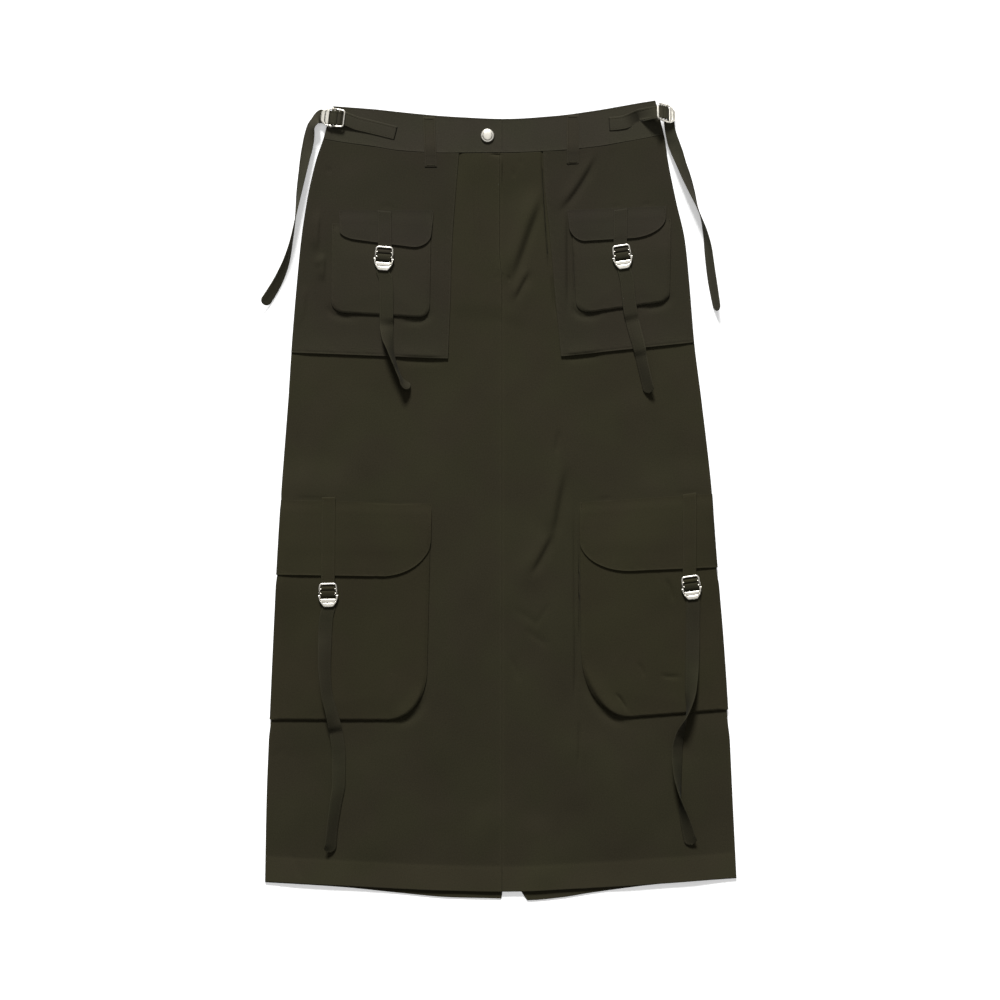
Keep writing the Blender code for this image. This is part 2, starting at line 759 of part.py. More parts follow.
def plan_buckles():
    """The place of each buckle: on its pocket, as low as its strap and tail allow."""
    places = {}
    for name, buckle in BUCKLES.items():
        x, y = (value * MM for value in buckle["at"])
        turn = math.radians(buckle["turn"])
        along = np.array([-math.sin(turn), math.cos(turn)])
        steps = np.linspace(-HALF_BUCKLE, HALF_BUCKLE + STRAP_BEND, 11)
        path_x, path_y = x + along[0] * steps, y + along[1] * steps
        need = resting_heights(path_x, path_y, BUCKLE_WIDTH, BUCKLE_MARGIN)
        slope = (need[-1] - need[0]) / (steps[-1] - steps[0])
        level = (need - slope * steps).max()
        place = Matrix.Translation((x, y, level + STRAP_DEPTH)) @ Matrix.Rotation(turn, 4, "Z")
        places[name] = place @ Matrix.Rotation(math.atan(slope), 4, "X")
    for name, buckle in SIDE_BUCKLES.items():
        place = Matrix.Translation([value * MM for value in buckle["at"]])
        for angle, axis in (("roll", "X"), ("turn", "Z"), ("dip", "X")):
            place = place @ Matrix.Rotation(math.radians(buckle[angle]), 4, axis)
        places[name] = place
    return places


def in_buckle(place, points):
    """World points of (along, height) pairs on a buckle's middle line."""
    world = [place @ Matrix.Translation((0, along, height)).to_translation() for along, height in points]
    return np.array([tuple(point) for point in world])


def across_buckle(place):
    """Half of a strap's width as a vector across a buckle."""
    return np.array(place.to_3x3().col[0]) * STRAP_WIDTH / 2


def loop_over(bar, entry, leave):
    """Up one side of a bar, over it and down the other side, clear of it by GAP.

    Points are (along, height) pairs of the strap's underside in the buckle's frame.
    """
    radius = BAR_RADIUS + GAP
    turn = np.radians([0, 45, 90, 135, 180])
    over = [(bar + radius * math.cos(t), radius * math.sin(t)) for t in turn]
    return [entry, *over, leave]


# A strap that loops over the flap bar and a tail that starts over the tail bar
FLAP_STRAP_LOOP = [
    (FRAME_TOP + 3.2 * MM, -STRAP_DEPTH),
    (FRAME_TOP - 2.6 * MM, -STRAP_DEPTH),
    *loop_over(
        FLAP_BAR_AT,
        (FLAP_BAR_AT + BAR_RADIUS + 1.0 * MM, -1.6 * MM),
        (FLAP_BAR_AT - BAR_RADIUS - GAP, -1.7 * MM),
    ),
]
TAIL_LOOP = [
    *loop_over(
        TAIL_BAR_AT,
        (TAIL_BAR_AT + BAR_RADIUS + GAP, -1.5 * MM),
        (TAIL_BAR_AT - BAR_RADIUS - 0.8 * MM, -1.4 * MM),
    ),
    (-2.6 * MM, -STRAP_DEPTH),
]
# Beneath the lever a tail runs on straight, but the one at the right side turns down there
UNDER_LEVER = [(-9 * MM, -STRAP_DEPTH), (-15.5 * MM, -STRAP_DEPTH)]
TURNED_UNDER_LEVER = [(-5.5 * MM, -STRAP_DEPTH)]


def strip(middle, widths, raised, width=STRAP_WIDTH):
    """Two edges of a strap along its middle line.

    `widths` are the widths seen from above, negative once the strap has turned over; the rest
    of its real width stands up, on the left-hand side of its run where `raised` is 1.
    """
    run = np.gradient(middle, axis=0)
    run[:, 2] = 0
    run /= np.linalg.norm(run, axis=1)[:, None]
    across = np.cross([0, 0, 1], run)
    level = np.clip(widths / width, -1, 1)
    rise = raised * np.sqrt(1 - level**2)
    half = (across * level[:, None] + np.array([0, 0, 1]) * rise[:, None]) * width / 2
    lift = np.abs(half[:, 2]) + WEBBING * np.clip(-level, 0, 1)
    middle = middle + np.array([0, 0, 1]) * lift[:, None]
    return np.stack([middle - half, middle + half], axis=1)


# Tails: the middle line beyond the buckle and the width seen from above
TAILS = {
    "upper_left": {
        "raised": -1,
        "route": table(
            "x y width",
            (-136.4, 262, 16.4),
            (-136.2, 240, 16.4),
            (-136.2, 216, 16.4),
            (-135.6, 199, 14),
            (-131.4, 180, 7),
            (-126, 163, 4),
            (-120, 148, 3),
            (-114.6, 139.4, 7),
            (-108.6, 135.4, 9),
        ),
    },
    "upper_right": {
        "raised": 1,
        "route": table(
            "x y width",
            (152.4, 262, 16.4),
            (154.4, 242, 16.4),
            (157.4, 222, 16.4),
            (162.4, 202, 16),
            (167.6, 182, 14.4),
            (171.8, 162, 12),
            (176, 144, 10),
            (179.4, 129.6, 10),
        ),
    },
    "lower_left": {
        "raised": 1,
        "route": table(
            "x y width",
            (-207.4, -134, 16.4),
            (-209.6, -160, 16.4),
            (-210.4, -194, 16.4),
            (-207.8, -230, 15.4),
            (-202.4, -252, 14),
            (-197.2, -276, 16.2),
            (-193.4, -306, 16.2),
            (-193.4, -336, 15.6),
            (-197.4, -364, 13.6),
            (-201.6, -394, 10.6),
            (-203.6, -414, 10),
            (-205.6, -421, 12.6),
        ),
    },
    "lower_right": {
        "raised": 1,
        "route": table(
            "x y width",
            (231.4, -128, 16.4),
            (231.2, -160, 16.4),
            (230.4, -194, 16.2),
            (228.8, -226, 13),
            (226.6, -246, 5),
            (222.4, -262, -2),
            (216, -280, -11),
            (212.4, -300, -13),
            (212.8, -324, -10.6),
            (215.6, -348, -4),
            (218.4, -366, 5),
            (223, -386, 12),
            (229.8, -412, 16),
        ),
    },
    "side_left": {
        "raised": -1,
        "route": table(
            "x y width z",
            (-219.4, 457, 12, 3.4),
            (-225.2, 452.4, 9.6, 2.0),
            (-227.4, 444, 11.6, 0.9),
            (-229, 435, 13.4, 0.3),
            (-230.6, 426, 14, 0.2),
            (-233.4, 412, 12.6, 0.1),
            (-236.8, 392.4, 10, 0.1),
            (-240.2, 372, 7.4, 0.1),
            (-242.8, 354, 3.9, 0.1),
            (-245.2, 337, 1, 0.1),
            (-250.4, 308.4, -2.6, 0.1),
            (-255.5, 288.6, -6.5, 0.1),
            (-264.4, 266.8, -10, 0.1),
            (-276.4, 246, -11.8, 0.1),
            (-283.6, 235.6, -12, 0.1),
        ),
    },
    "side_right": {
        "raised": -1,
        "route": table(
            "x y width z",
            (202.8, 453, 13, 0.8),
            (204, 444.5, 13.4, 0.3),
            (206.2, 436, 14.4, 0.2),
            (209, 427.4, 15.2, 0.1),
            (212.4, 418.3, 15, 0.1),
            (217, 405.2, 13, 0.1),
            (222, 392.2, 12, 0.1),
            (226.8, 379.2, 9.8, 0.1),
            (231.4, 366, 6.4, 0.1),
            (235.8, 353, 2.4, 0.1),
            (240.6, 340, 0.6, 0.1),
            (244.4, 327, -3, 0.1),
            (247.4, 313.8, -5.8, 0.1),
            (249.4, 300.8, -8.4, 0.1),
            (251.6, 283, -9.2, 0.1),
            (254, 266, -9.6, 0.1),
            (258, 242, -8.4, 0.1),
            (260.4, 228, -7, 0.1),
        ),
    },
}
TAIL_STEP = 9 * MM
TIP = 6.5 * MM  # length of a tail's rounded tip


def smooth_route(route, start, height=None):
    """A tail's middle line, its widths and its rounding, close enough to bend softly.

    The rounding is 1 down to the tip and follows a quarter circle through it.
    """
    rows = [dict(start, at=0.0)]
    for row in route:
        step = math.hypot(row["x"] - rows[-1]["x"], row["y"] - rows[-1]["y"])
        rows.append(dict(row, at=rows[-1]["at"] + step))
    length = rows[-1]["at"]
    turn = np.linspace(0, 0.9 * math.pi / 2, 4)
    tip = np.sin(turn)
    even = np.linspace(0, length - TIP, round((length - TIP) / TAIL_STEP) + 1)
    at = np.concatenate([even[:-1], length - TIP + TIP * tip])
    rounding = np.concatenate([np.ones(len(even) - 1), np.cos(turn)])
    x, y, widths = (line_through(rows, column, "at")(at) for column in ("x", "y", "width"))
    z = height(x, y) if height else line_through(rows, "z", "at")(at)
    return np.stack([x, y, z], axis=-1)[1:], widths[1:], rounding[1:]


def on_cloth(x, y):
    return resting_heights(x, y, STRAP_WIDTH, TAIL_STEP)


def make_tails(places):
    for name, tail in TAILS.items():
        under_lever = TURNED_UNDER_LEVER if name == "side_right" else UNDER_LEVER
        inside = in_buckle(places[name], TAIL_LOOP + under_lever)
        start = {"x": inside[-1, 0], "y": inside[-1, 1], "z": inside[-1, 2], "width": STRAP_WIDTH}
        height = None if name.startswith("side") else on_cloth
        route, widths, rounding = smooth_route(tail["route"], start, height)
        middle = np.concatenate([inside, route])
        widths = np.concatenate([np.full(len(inside), STRAP_WIDTH), widths])
        points = strip(middle, widths, tail["raised"])
        across = across_buckle(places[name])
        points[: len(inside), 0] = inside - across
        points[: len(inside), 1] = inside + across
        centre = points.mean(axis=1, keepdims=True)
        share = np.append(np.ones(len(inside)), rounding)[:, None, None]
        add_wall(f"{name}_tail", centre + (points - centre) * share, WEBBING, "webbing")


def make_flap_straps(places):
    for name, (x, y) in FLAP_STRAP_TOPS.items():
        inside = in_buckle(places[name], FLAP_STRAP_LOOP)
        share = np.linspace(0, 1, 8)[:-1, None]
        start = np.array([x * MM, y * MM, 0])
        on_flap = start + (inside[0] - start) * share
        on_flap[:, 2] = resting_heights(on_flap[:, 0], on_flap[:, 1], STRAP_WIDTH, reach=8 * MM)
        middle = np.concatenate([on_flap, inside])
        across = across_buckle(places[name])
        level = across * np.array([1, 1, 0])
        sideways = np.array([level] * len(on_flap) + [across] * len(inside))
        points = np.stack([middle - sideways, middle + sideways], axis=1)
        add_wall(f"{name}_strap", points, WEBBING, "webbing")


# Adjuster straps on the waistband: middle line with its height above the band
ADJUSTERS = {
    "side_left": table("x y z", (-124.8, 441.4, 0), (-140, 445.2, 0), (-156, 449.2, 0), (-172, 453, 0.6)),
    "side_right": table(
        "x y z", (130.8, 452.4, 0), (140, 453, 0), (149, 454.4, 0), (158, 458, 0.8), (167, 462.6, 4.4)
    ),
}


def make_adjusters(places):
    for name, route in ADJUSTERS.items():
        inside = in_buckle(places[name], FLAP_STRAP_LOOP)
        x, y, z = (np.array([row[column] for row in route]) for column in ("x", "y", "z"))
        z = z + resting_heights(x, y, STRAP_WIDTH)
        middle = np.concatenate([np.stack([x, y, z], axis=-1), inside])
        points = strip(middle, np.full(len(middle), STRAP_WIDTH), 1)
        across = across_buckle(places[name])
        points[-len(inside) :, 0] = inside - across
        points[-len(inside) :, 1] = inside + across
        add_wall(f"{name}_adjuster", points, WEBBING, "webbing")


# Hardware


def evaluated_mesh(obj, name):
    """The finished mesh of an object, with a curve's caps welded; the object is removed."""
    graph = bpy.context.evaluated_depsgraph_get()
    mesh = bpy.data.meshes.new_from_object(obj.evaluated_get(graph))
    mesh.name = name
    soup = bmesh.new()
    soup.from_mesh(mesh)
    bmesh.ops.remove_doubles(soup, verts=soup.verts, dist=0.01 * MM)
    soup.to_mesh(mesh)
    soup.free()
    bpy.data.objects.remove(obj)
    return mesh


def curve_object(name, points, cyclic, **settings):
    curve = bpy.data.curves.new(name, "CURVE")
    for setting, value in settings.items():
        setattr(curve, setting, value)
    spline = curve.splines.new("POLY")
    spline.points.add(len(points) - 1)
    for point, place in zip(spline.points, points):
        point.co = (*place, 1)
    spline.use_cyclic_u = cyclic
    obj = bpy.data.objects.new(name, curve)
    CUTTERS.objects.link(obj)
    return obj


def cross_rod(name, y, radius, half_length, middle_x=0.0):
    """A rod across the buckle, as a tool for a union."""
    soup = bmesh.new()
    turned = Matrix.Translation((middle_x, y, 0)) @ Matrix.Rotation(math.pi / 2, 4, "Y")
    bmesh.ops.create_cone(
        soup, cap_ends=True, segments=8, radius1=radius, radius2=radius, depth=2 * half_length, matrix=turned
    )
    mesh = bpy.data.meshes.new(name)
    soup.to_mesh(mesh)
    soup.free()
    obj = bpy.data.objects.new(name, mesh)
    obj.hide_render = True
    obj.display_type = "WIRE"
    CUTTERS.objects.link(obj)
    return obj


def united(base_mesh, tools, name):
    """The Boolean union of a mesh with the tools, as one mesh."""
    obj = bpy.data.objects.new(name, base_mesh)
    CUTTERS.objects.link(obj)
    for tool in tools:
        union = obj.modifiers.new(tool.name, "BOOLEAN")
        union.operation = "UNION"
        union.solver = "EXACT"
        union.object = tool
    bpy.context.view_layer.update()
    mesh = evaluated_mesh(obj, name)
    for tool in tools:
        bpy.data.objects.remove(tool)
    return mesh


def frame_mesh():
    """A rod bent to a square-shouldered bow, with the flap bar and the tail bar across it."""
    foot = [(FOOT_HALF_WIDTH, FRAME_FOOT, 0)]
    middle = (TOP_HALF_WIDTH - FRAME_CORNER, FRAME_TOP - FRAME_CORNER)
    shoulder = [
        (middle[0] + FRAME_CORNER * math.cos(t), middle[1] + FRAME_CORNER * math.sin(t), 0)
        for t in np.linspace(0, math.pi / 2, 4)
    ]
    right = foot + shoulder
    points = right + [(-x, y, z) for x, y, z in reversed(right)]
    rod = curve_object(
        "rod", points, False, dimensions="3D", bevel_depth=ROD_RADIUS, bevel_resolution=2, use_fill_caps=True
    )
    bars = [
        cross_rod("flap_bar", FLAP_BAR_AT, BAR_RADIUS, TOP_HALF_WIDTH),
        cross_rod("tail_bar", TAIL_BAR_AT, BAR_RADIUS, TOP_HALF_WIDTH),
    ]
    return united(evaluated_mesh(rod, "rod"), bars, "buckle_frame")


LEVER_OUTLINE = table(
    "x y",
    (4.4, -14.6),
    (6.4, -13.6),
    (10.8, -6.4),
    (11.4, -1.4),
    (11.4, 0.2),
    (9.2, 0.2),
    (9.0, -4.6),
)


def lever_mesh():
    """A bevelled plate with an arm at each side, and a hinge knob on each arm."""
    right = [(point["x"], point["y"], 0) for point in LEVER_OUTLINE]
    points = right + [(-x, y, z) for x, y, z in reversed(right)]
    bevel = 0.35 * MM
    plate = curve_object(
        "plate",
        points,
        True,
        dimensions="2D",
        fill_mode="BOTH",
        extrude=LEVER_THICKNESS / 2 - bevel,
        bevel_depth=bevel,
        bevel_resolution=0,
        offset=-bevel,
    )
    knobs = [
        cross_rod(f"knob_{sign}", HINGE_AT, KNOB_RADIUS, KNOB_LENGTH / 2, middle_x=sign * KNOB_AT)
        for sign in (-1, 1)
    ]
    return united(evaluated_mesh(plate, "plate"), knobs, "buckle_lever")


def make_buckles(places):
    frame, lever = frame_mesh(), lever_mesh()
    for name, place in places.items():
        for piece, mesh in (("frame", frame), ("lever", lever)):
            obj = add_object(f"{name}_buckle_{piece}", mesh.copy(), "nickel")
            obj.matrix_world = place


BUTTON_AT = (-15.0 * MM, 438.0 * MM)
BUTTON_PROFILE = table(
    "radius height",
    (0.0, 3.4),
    (2.8, 3.2),
    (5.4, 2.5),
    (7.4, 1.5),
    (8.2, 0.6),
    (7.8, 0.0),
    (0.0, 0.0),
)


def make_button():
    """A low dome, turned from its profile."""
    mesh = bpy.data.meshes.new("button")
    profile = [(point["radius"], 0, point["height"]) for point in BUTTON_PROFILE]
    mesh.from_pydata(profile, [(i, i + 1) for i in range(len(profile) - 1)], [])
    obj = add_object("button", mesh, "nickel")
    screw = obj.modifiers.new("Turn", "SCREW")
    screw.steps = 28
    screw.render_steps = 28
    screw.use_merge_vertices = True
    screw.merge_threshold = 0.00001
    x, y = BUTTON_AT
    reach = np.linspace(-1, 1, 9)[:, None] * BUTTON_RADIUS
    top = band_top(x + reach, y + reach.T).max()
    obj.location = (x, y, top + GAP)


def main():
    clear_scene()
    plan_pockets()
    make_back()
    make_front()
    make_waistband()
    make_patches()
    make_upper_pockets()
    make_lower_pockets()
    make_belt_loops()
    places = plan_buckles()
    make_flap_straps(places)
    make_tails(places)
    make_adjusters(places)
    make_buckles(places)
    make_button()


main()
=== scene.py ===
"""Looks of a cargo utility skirt that lies flat on a table with its front up.

+X is the right of the skirt as it is seen, +Y points to the waist and +Z off the table. Tables
are in millimetres. Each piece of cloth is worked out from its own edges and from the height of
what it lies on, so the pieces stack up as they are sewn, from the back to the buckles.
"""

import math

import bpy
import numpy as np
from mathutils import Matrix, Vector


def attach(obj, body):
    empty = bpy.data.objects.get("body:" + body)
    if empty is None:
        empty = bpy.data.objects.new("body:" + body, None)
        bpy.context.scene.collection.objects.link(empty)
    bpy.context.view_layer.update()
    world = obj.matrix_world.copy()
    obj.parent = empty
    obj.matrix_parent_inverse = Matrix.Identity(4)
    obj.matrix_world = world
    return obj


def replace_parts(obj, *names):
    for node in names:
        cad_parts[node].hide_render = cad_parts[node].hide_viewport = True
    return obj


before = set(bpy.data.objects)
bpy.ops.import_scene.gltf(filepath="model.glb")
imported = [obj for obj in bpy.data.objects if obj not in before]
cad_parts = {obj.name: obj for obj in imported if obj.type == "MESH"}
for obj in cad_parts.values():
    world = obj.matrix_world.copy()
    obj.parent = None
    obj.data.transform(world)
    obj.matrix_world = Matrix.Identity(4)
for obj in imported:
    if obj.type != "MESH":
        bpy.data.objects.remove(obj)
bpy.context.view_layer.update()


# Back
#
# Two panels of cotton drill, seamed down the middle to the top of a vent at the hem. They lie on
# the table and rise only at the sides, over the ends of the lower pockets that wrap onto them.

MM = 0.001
CLOTH = 1.2 * MM  # wall of the front and back panels
POCKET_CLOTH = 1.0 * MM  # wall of patches, pockets, flaps and fly facing
GAP = 0.3 * MM  # between two pieces that meet, such as a strap and the bar that it goes round
LAYER_GAP = 0.4 * MM  # between a piece and the cloth that it lies on
WRAP_ROOM = 66 * MM  # how far in from the side the back stays lifted over a wrapped pocket
LIFT_RAMP = 45 * MM  # over which it comes down again
POCKET_INSET = 1.5 * MM  # the side seam lies this far inside a wrapped pocket
FLAP_INSET = 1.1 * MM  # and further inside where a flap lies over it
WRAP_TOP = 11 * MM  # the room under the back starts here, above the lower flaps
WRAP_FLAP_FOOT = -97 * MM  # ends here under a flap
WRAP_FOOT = -266 * MM  # and here under a pocket
BESIDE_POCKET = (-262 * MM, -14 * MM, 26 * MM)  # where the side seam lies inside: from, to and ramp
BESIDE_FLAP = (-86 * MM, -12 * MM, 16 * MM)


def table(columns, *rows):
    """Rows of millimetres under named columns, in metres."""
    names = columns.split()
    return [dict(zip(names, [value * MM for value in row])) for row in rows]


def line_through(rows, of, along):
    """A smooth line through a table: column `of` as a function of column `along`.

    Between two rows it is a cubic, and the slope at a row is the harmonic mean of its
    neighbours' chords, so it never overshoots.
    """
    rows = sorted(rows, key=lambda row: row[along])
    at = np.array([row[along] for row in rows])
    values = np.array([row[of] for row in rows])
    chords = np.diff(values) / np.diff(at)
    same_way = chords[1:] * chords[:-1] > 0
    blend = 2 * chords[1:] * chords[:-1] / np.where(same_way, chords[1:] + chords[:-1], 1)
    slopes = np.concatenate([chords[:1], np.where(same_way, blend, 0), chords[-1:]])

    def value(where):
        where = np.clip(where, at[0], at[-1])
        i = np.clip(np.searchsorted(at, where) - 1, 0, len(at) - 2)
        span = at[i + 1] - at[i]
        t = (where - at[i]) / span
        start = (2 * t**3 - 3 * t**2 + 1) * values[i] + (t**3 - 2 * t**2 + t) * span * slopes[i]
        end = (3 * t**2 - 2 * t**3) * values[i + 1] + (t**3 - t**2) * span * slopes[i + 1]
        return start + end

    return value


def ease(t):
    """0 below 0, 1 above 1, and an S-shaped rise between."""
    t = np.clip(t, 0, 1)
    return t * t * (3 - 2 * t)


def plateau(value, low, high, ramp):
    """1 from low to high, easing to 0 over ramp outside them."""
    return ease((value - low) / ramp + 1) * ease((high - value) / ramp + 1)


# The outline: down is from the waist to the hem along Y, left and right are X
SIDES = table(
    "y left right",
    (482, -198, 186), (474, -200, 188.4), (457, -206, 192.6), (434, -212.4, 198),
    (409, -220.8, 201.6), (361, -231.6, 211.2), (313, -238.8, 222), (265, -243.6, 227),
    (193, -249.6, 233), (121, -254.4, 242), (25, -261.6, 253), (-71, -267.6, 260.4),
    (-167, -272.4, 268.6), (-263, -276.6, 274.8), (-359, -280.4, 279.4), (-480, -282.6, 285.4),
)
WAIST = table(
    "x top seam",
    (-216, 475, 435), (-192, 473.4, 430.8), (-149, 470, 424.8), (-122, 467, 420.4),
    (-66, 461.8, 417.4), (2, 458.4, 417.6), (64, 462, 420), (116, 468.8, 425), (146, 474, 430),
    (168, 478, 434), (200, 483, 440.6),
)
HEM = table(
    "x front back",
    (-283, -457, -458), (-230, -460, -461), (-186, -462, -464), (-123, -465.4, -470.4),
    (-60, -468, -476), (2, -469, -477.6), (34, -468.6, -479.6), (72, -466.6, -476.4),
    (110, -464.6, -470.4), (192, -459.6, -460), (286, -452.4, -453),
)
CENTRE_BACK = table("y left right", (445, 2, 2), (-330, 2, 2), (-420, 2, 12), (-468, 3, 25), (-480, 1, 33))

left_outline, right_outline = (line_through(SIDES, side, "y") for side in ("left", "right"))
waist_top, waist_seam = (line_through(WAIST, edge, "x") for edge in ("top", "seam"))
front_hem, back_hem = (line_through(HEM, hem, "x") for hem in ("front", "back"))
vent_left, vent_right = (line_through(CENTRE_BACK, side, "y") for side in ("left", "right"))


def inset(y):
    """How far the side seam lies inside the outline beside a lower pocket and its flap."""
    return POCKET_INSET * plateau(y, *BESIDE_POCKET) + FLAP_INSET * plateau(y, *BESIDE_FLAP)


def left_side(y):
    return left_outline(y) + inset(y)


def right_side(y):
    return right_outline(y) - inset(y)


def side_distance(x, y):
    return np.minimum(x - left_side(y), right_side(y) - x)


def room_for(thickness, foot, x, y):
    """Room under the back beside the skirt's sides, from the wrapped pieces' top down to `foot`."""
    near_side = ease((WRAP_ROOM - side_distance(x, y)) / LIFT_RAMP + 1)
    return (thickness + LAYER_GAP) * near_side * plateau(y, foot, WRAP_TOP, LIFT_RAMP)


def flap_lift(x, y):
    return room_for(POCKET_CLOTH, WRAP_FLAP_FOOT, x, y)


def back_underside(x, y):
    """The back lies on the table and rises only over what is wrapped under it."""
    return flap_lift(x, y) + room_for(POCKET_CLOTH, WRAP_FOOT, x, y)


EDGE_LINES = (0, 0.12, 0.4, 0.8, 1.3, 2.0, 2.7, 3.6, 5.0)  # grid lines close inside an edge


def shares(width, pitch, close=(0, 0, 1)):
    """Shares of a width for grid lines: close together inside both edges, even between them.

    From the first to the second share in `close` the lines are closer by the third number. Their
    places are the inverse of the running sum of their density.
    """
    near = np.array(EDGE_LINES) * MM / width
    share = np.linspace(near[-1], 1 - near[-1], 2000)
    density = np.where((share > close[0]) & (share < close[1]), close[2], 1.0)
    total = np.cumsum(density) - density[0]
    count = max(2, round(total[-1] * (share[1] - share[0]) * width / pitch))
    between = np.interp(np.linspace(0, total[-1], count + 1), total, share)
    return np.concatenate([near[:-1], between, 1 - near[-2::-1]])


TURNS_TO_SETTLE = 6


def lay_out(edges, pitch, corners=((0, 0), (0, 0)), close=(0, 0, 1)):
    """X and Y of a piece between its left, right, top and foot edges.

    Rows run down and columns to the right. The sides are functions of Y, the top and the foot
    of X, so X and Y are worked out in turns until they settle. The lower corners are quarter
    ellipses of the given (width, height), which draw the sides in towards the foot.
    """
    left, right, top, foot = edges
    middle = (top(0.0) + foot(0.0)) / 2
    height = float(top(0.0) - foot(0.0))
    u = shares(float(right(middle) - left(middle)), pitch, close)[None, :]
    v = shares(height, pitch)[:, None]
    rise = (1 - v) * height

    def drawn_in(corner):
        if corner[1] == 0:
            return 0 * v
        depth = np.clip(1 - rise / corner[1], 0, 1)
        return corner[0] * (1 - np.sqrt(1 - depth**2))

    y = top(0.0) - v * height + 0 * u
    x = 0 * y
    for _ in range(TURNS_TO_SETTLE):
        start = left(y) + drawn_in(corners[0])
        x = start + (right(y) - drawn_in(corners[1]) - start) * u
        y = top(x) + (foot(x) - top(x)) * v
    return x, y


def unit(vectors):
    return vectors / np.maximum(np.linalg.norm(vectors, axis=-1, keepdims=True), 1e-12)


def normals_of(points):
    """Normals of a grid, square to its rows and its columns."""
    return unit(np.cross(np.gradient(points, axis=0), np.gradient(points, axis=1)))


def run_along(points, axis):
    """Distance run down a grid's columns (axis 0) or across its rows (axis 1)."""
    first = np.take(points, [0], axis=axis)
    return np.cumsum(np.linalg.norm(np.diff(points, axis=axis, prepend=first), axis=-1), axis=axis)


def add_piece(name, vertices, faces, material, uv=None, edge=None):
    """A piece whose vertices are already in place, riding on the skirt's only body.

    "cut" is each vertex's place on the flat cloth, and "edge" how worn the cloth is there.
    """
    mesh = bpy.data.meshes.new(name)
    mesh.from_pydata(vertices.tolist(), [], faces)
    mesh.polygons.foreach_set("use_smooth", np.ones(len(faces), dtype=bool))
    if uv is not None:
        corner_of = np.empty(len(mesh.loops), dtype=np.int32)
        mesh.loops.foreach_get("vertex_index", corner_of)
        mesh.uv_layers.new(name="cut").data.foreach_set("uv", uv[corner_of].ravel())
    if edge is not None:
        mesh.attributes.new("edge", "FLOAT", "POINT").data.foreach_set("value", edge)
    mesh.materials.append(material)
    piece = bpy.data.objects.new(name, mesh)
    bpy.context.scene.collection.objects.link(piece)
    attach(piece, "root")
    return piece


def edge_distance(points, side):
    """Distance of a grid's points from one of its sides, square to the side's own run there."""
    line = {"left": points[:, :1], "right": points[:, -1:], "top": points[:1], "foot": points[-1:]}[side]
    run = unit(np.gradient(line, axis=0 if line.shape[1] == 1 else 1))
    off = points - line
    return np.linalg.norm(off - run * (off * run).sum(axis=-1, keepdims=True), axis=-1)


def from_sides(points, sides):
    """Distance of a grid's points from the nearest of its named sides."""
    return np.min([edge_distance(points, side) for side in sides.split()], axis=0)


def closed_shell(points, thickness, relief=0):
    """Vertices and faces of a closed skin about a grid of middle points.

    Both skins stand off the middle along the grid's normal, by half the thickness times a
    quarter circle of the distance from the border, whose points they share, so the cloth's
    edge is round. The relief raises the outer skin alone.
    """
    rows, columns = points.shape[:2]
    thickness = thickness + np.zeros((rows, columns))
    normal = normals_of(points)
    share = 1 - np.clip(from_sides(points, "left right top foot") / (thickness / 2), 0, 1)
    half = (np.sqrt(1 - share**2) * thickness / 2)[..., None]
    half[0] = half[-1] = half[:, 0] = half[:, -1] = 0
    outer = points + normal * (half + (half > 0) * np.asarray(relief)[..., None])
    inner = (points - normal * half)[1:-1, 1:-1]
    above = np.arange(rows * columns).reshape(rows, columns)
    below = above.copy()
    below[1:-1, 1:-1] = rows * columns + np.arange((rows - 2) * (columns - 2)).reshape(rows - 2, -1)
    around = [
        np.stack([index[:-1, :-1], index[1:, :-1], index[1:, 1:], index[:-1, 1:]], axis=-1).reshape(-1, 4)
        for index in (above, below)
    ]
    vertices = np.concatenate([outer.reshape(-1, 3), inner.reshape(-1, 3)])
    return vertices, np.concatenate([around[0], around[1][:, ::-1]]).tolist()


def both_skins(grid):
    """A value of each point of a grid, for the shell's outer and inner points."""
    inner = grid[1:-1, 1:-1]
    return np.concatenate([grid.reshape(-1, *grid.shape[2:]), inner.reshape(-1, *grid.shape[2:])])


def add_node(tree, kind, inputs=(), **settings):
    """A node of a material; each input is a value or another node's output."""
    node = tree.nodes.new(kind)
    for setting, value in settings.items():
        setattr(node, setting, value)
    for socket, value in dict(inputs).items():
        if isinstance(value, bpy.types.NodeSocket):
            tree.links.new(value, node.inputs[socket])
        else:
            node.inputs[socket].default_value = value
    return node


def linear(colour):
    """A colour of 0 to 255 as it shows on a screen, as light."""
    share = np.array(colour) / 255
    return (*np.where(share <= 0.04045, share / 12.92, ((share + 0.055) / 1.055) ** 2.4), 1.0)


def new_finish(name, values):
    """A material with plain values for some inputs of its surface, its nodes and those inputs."""
    material = bpy.data.materials.new(name)
    material.use_nodes = True
    surface = material.node_tree.nodes["Principled BSDF"].inputs
    for socket, value in values.items():
        surface[socket].default_value = value
    return material, material.node_tree, surface


def noise(tree, vector, scale, detail, roughness=0.5):
    inputs = {"Vector": vector, "Scale": scale, "Detail": detail, "Roughness": roughness}
    return add_node(tree, "ShaderNodeTexNoise", inputs).outputs["Fac"]


def weighted(tree, *terms):
    """The sum of several outputs, each times its weight."""
    total = None
    for value, weight in terms:
        part = add_node(tree, "ShaderNodeMath", {0: value, 1: weight}, operation="MULTIPLY").outputs[0]
        total = part if total is None else add_node(tree, "ShaderNodeMath", {0: total, 1: part}).outputs[0]
    return total


TWILL = 0.9 * MM  # from rib to rib
DYE = 0.78  # a finish is given as the colour that it shows in this light
BROWNER = np.array([1.02, 0.985, 1.02])  # the dye took unevenly, a little browner or greener
GREENER = np.array([0.99, 1.005, 0.97])
MIDDLE_SHADE = -0.38  # brings the sum of flecks, ribs and dye to the middle of the two shades


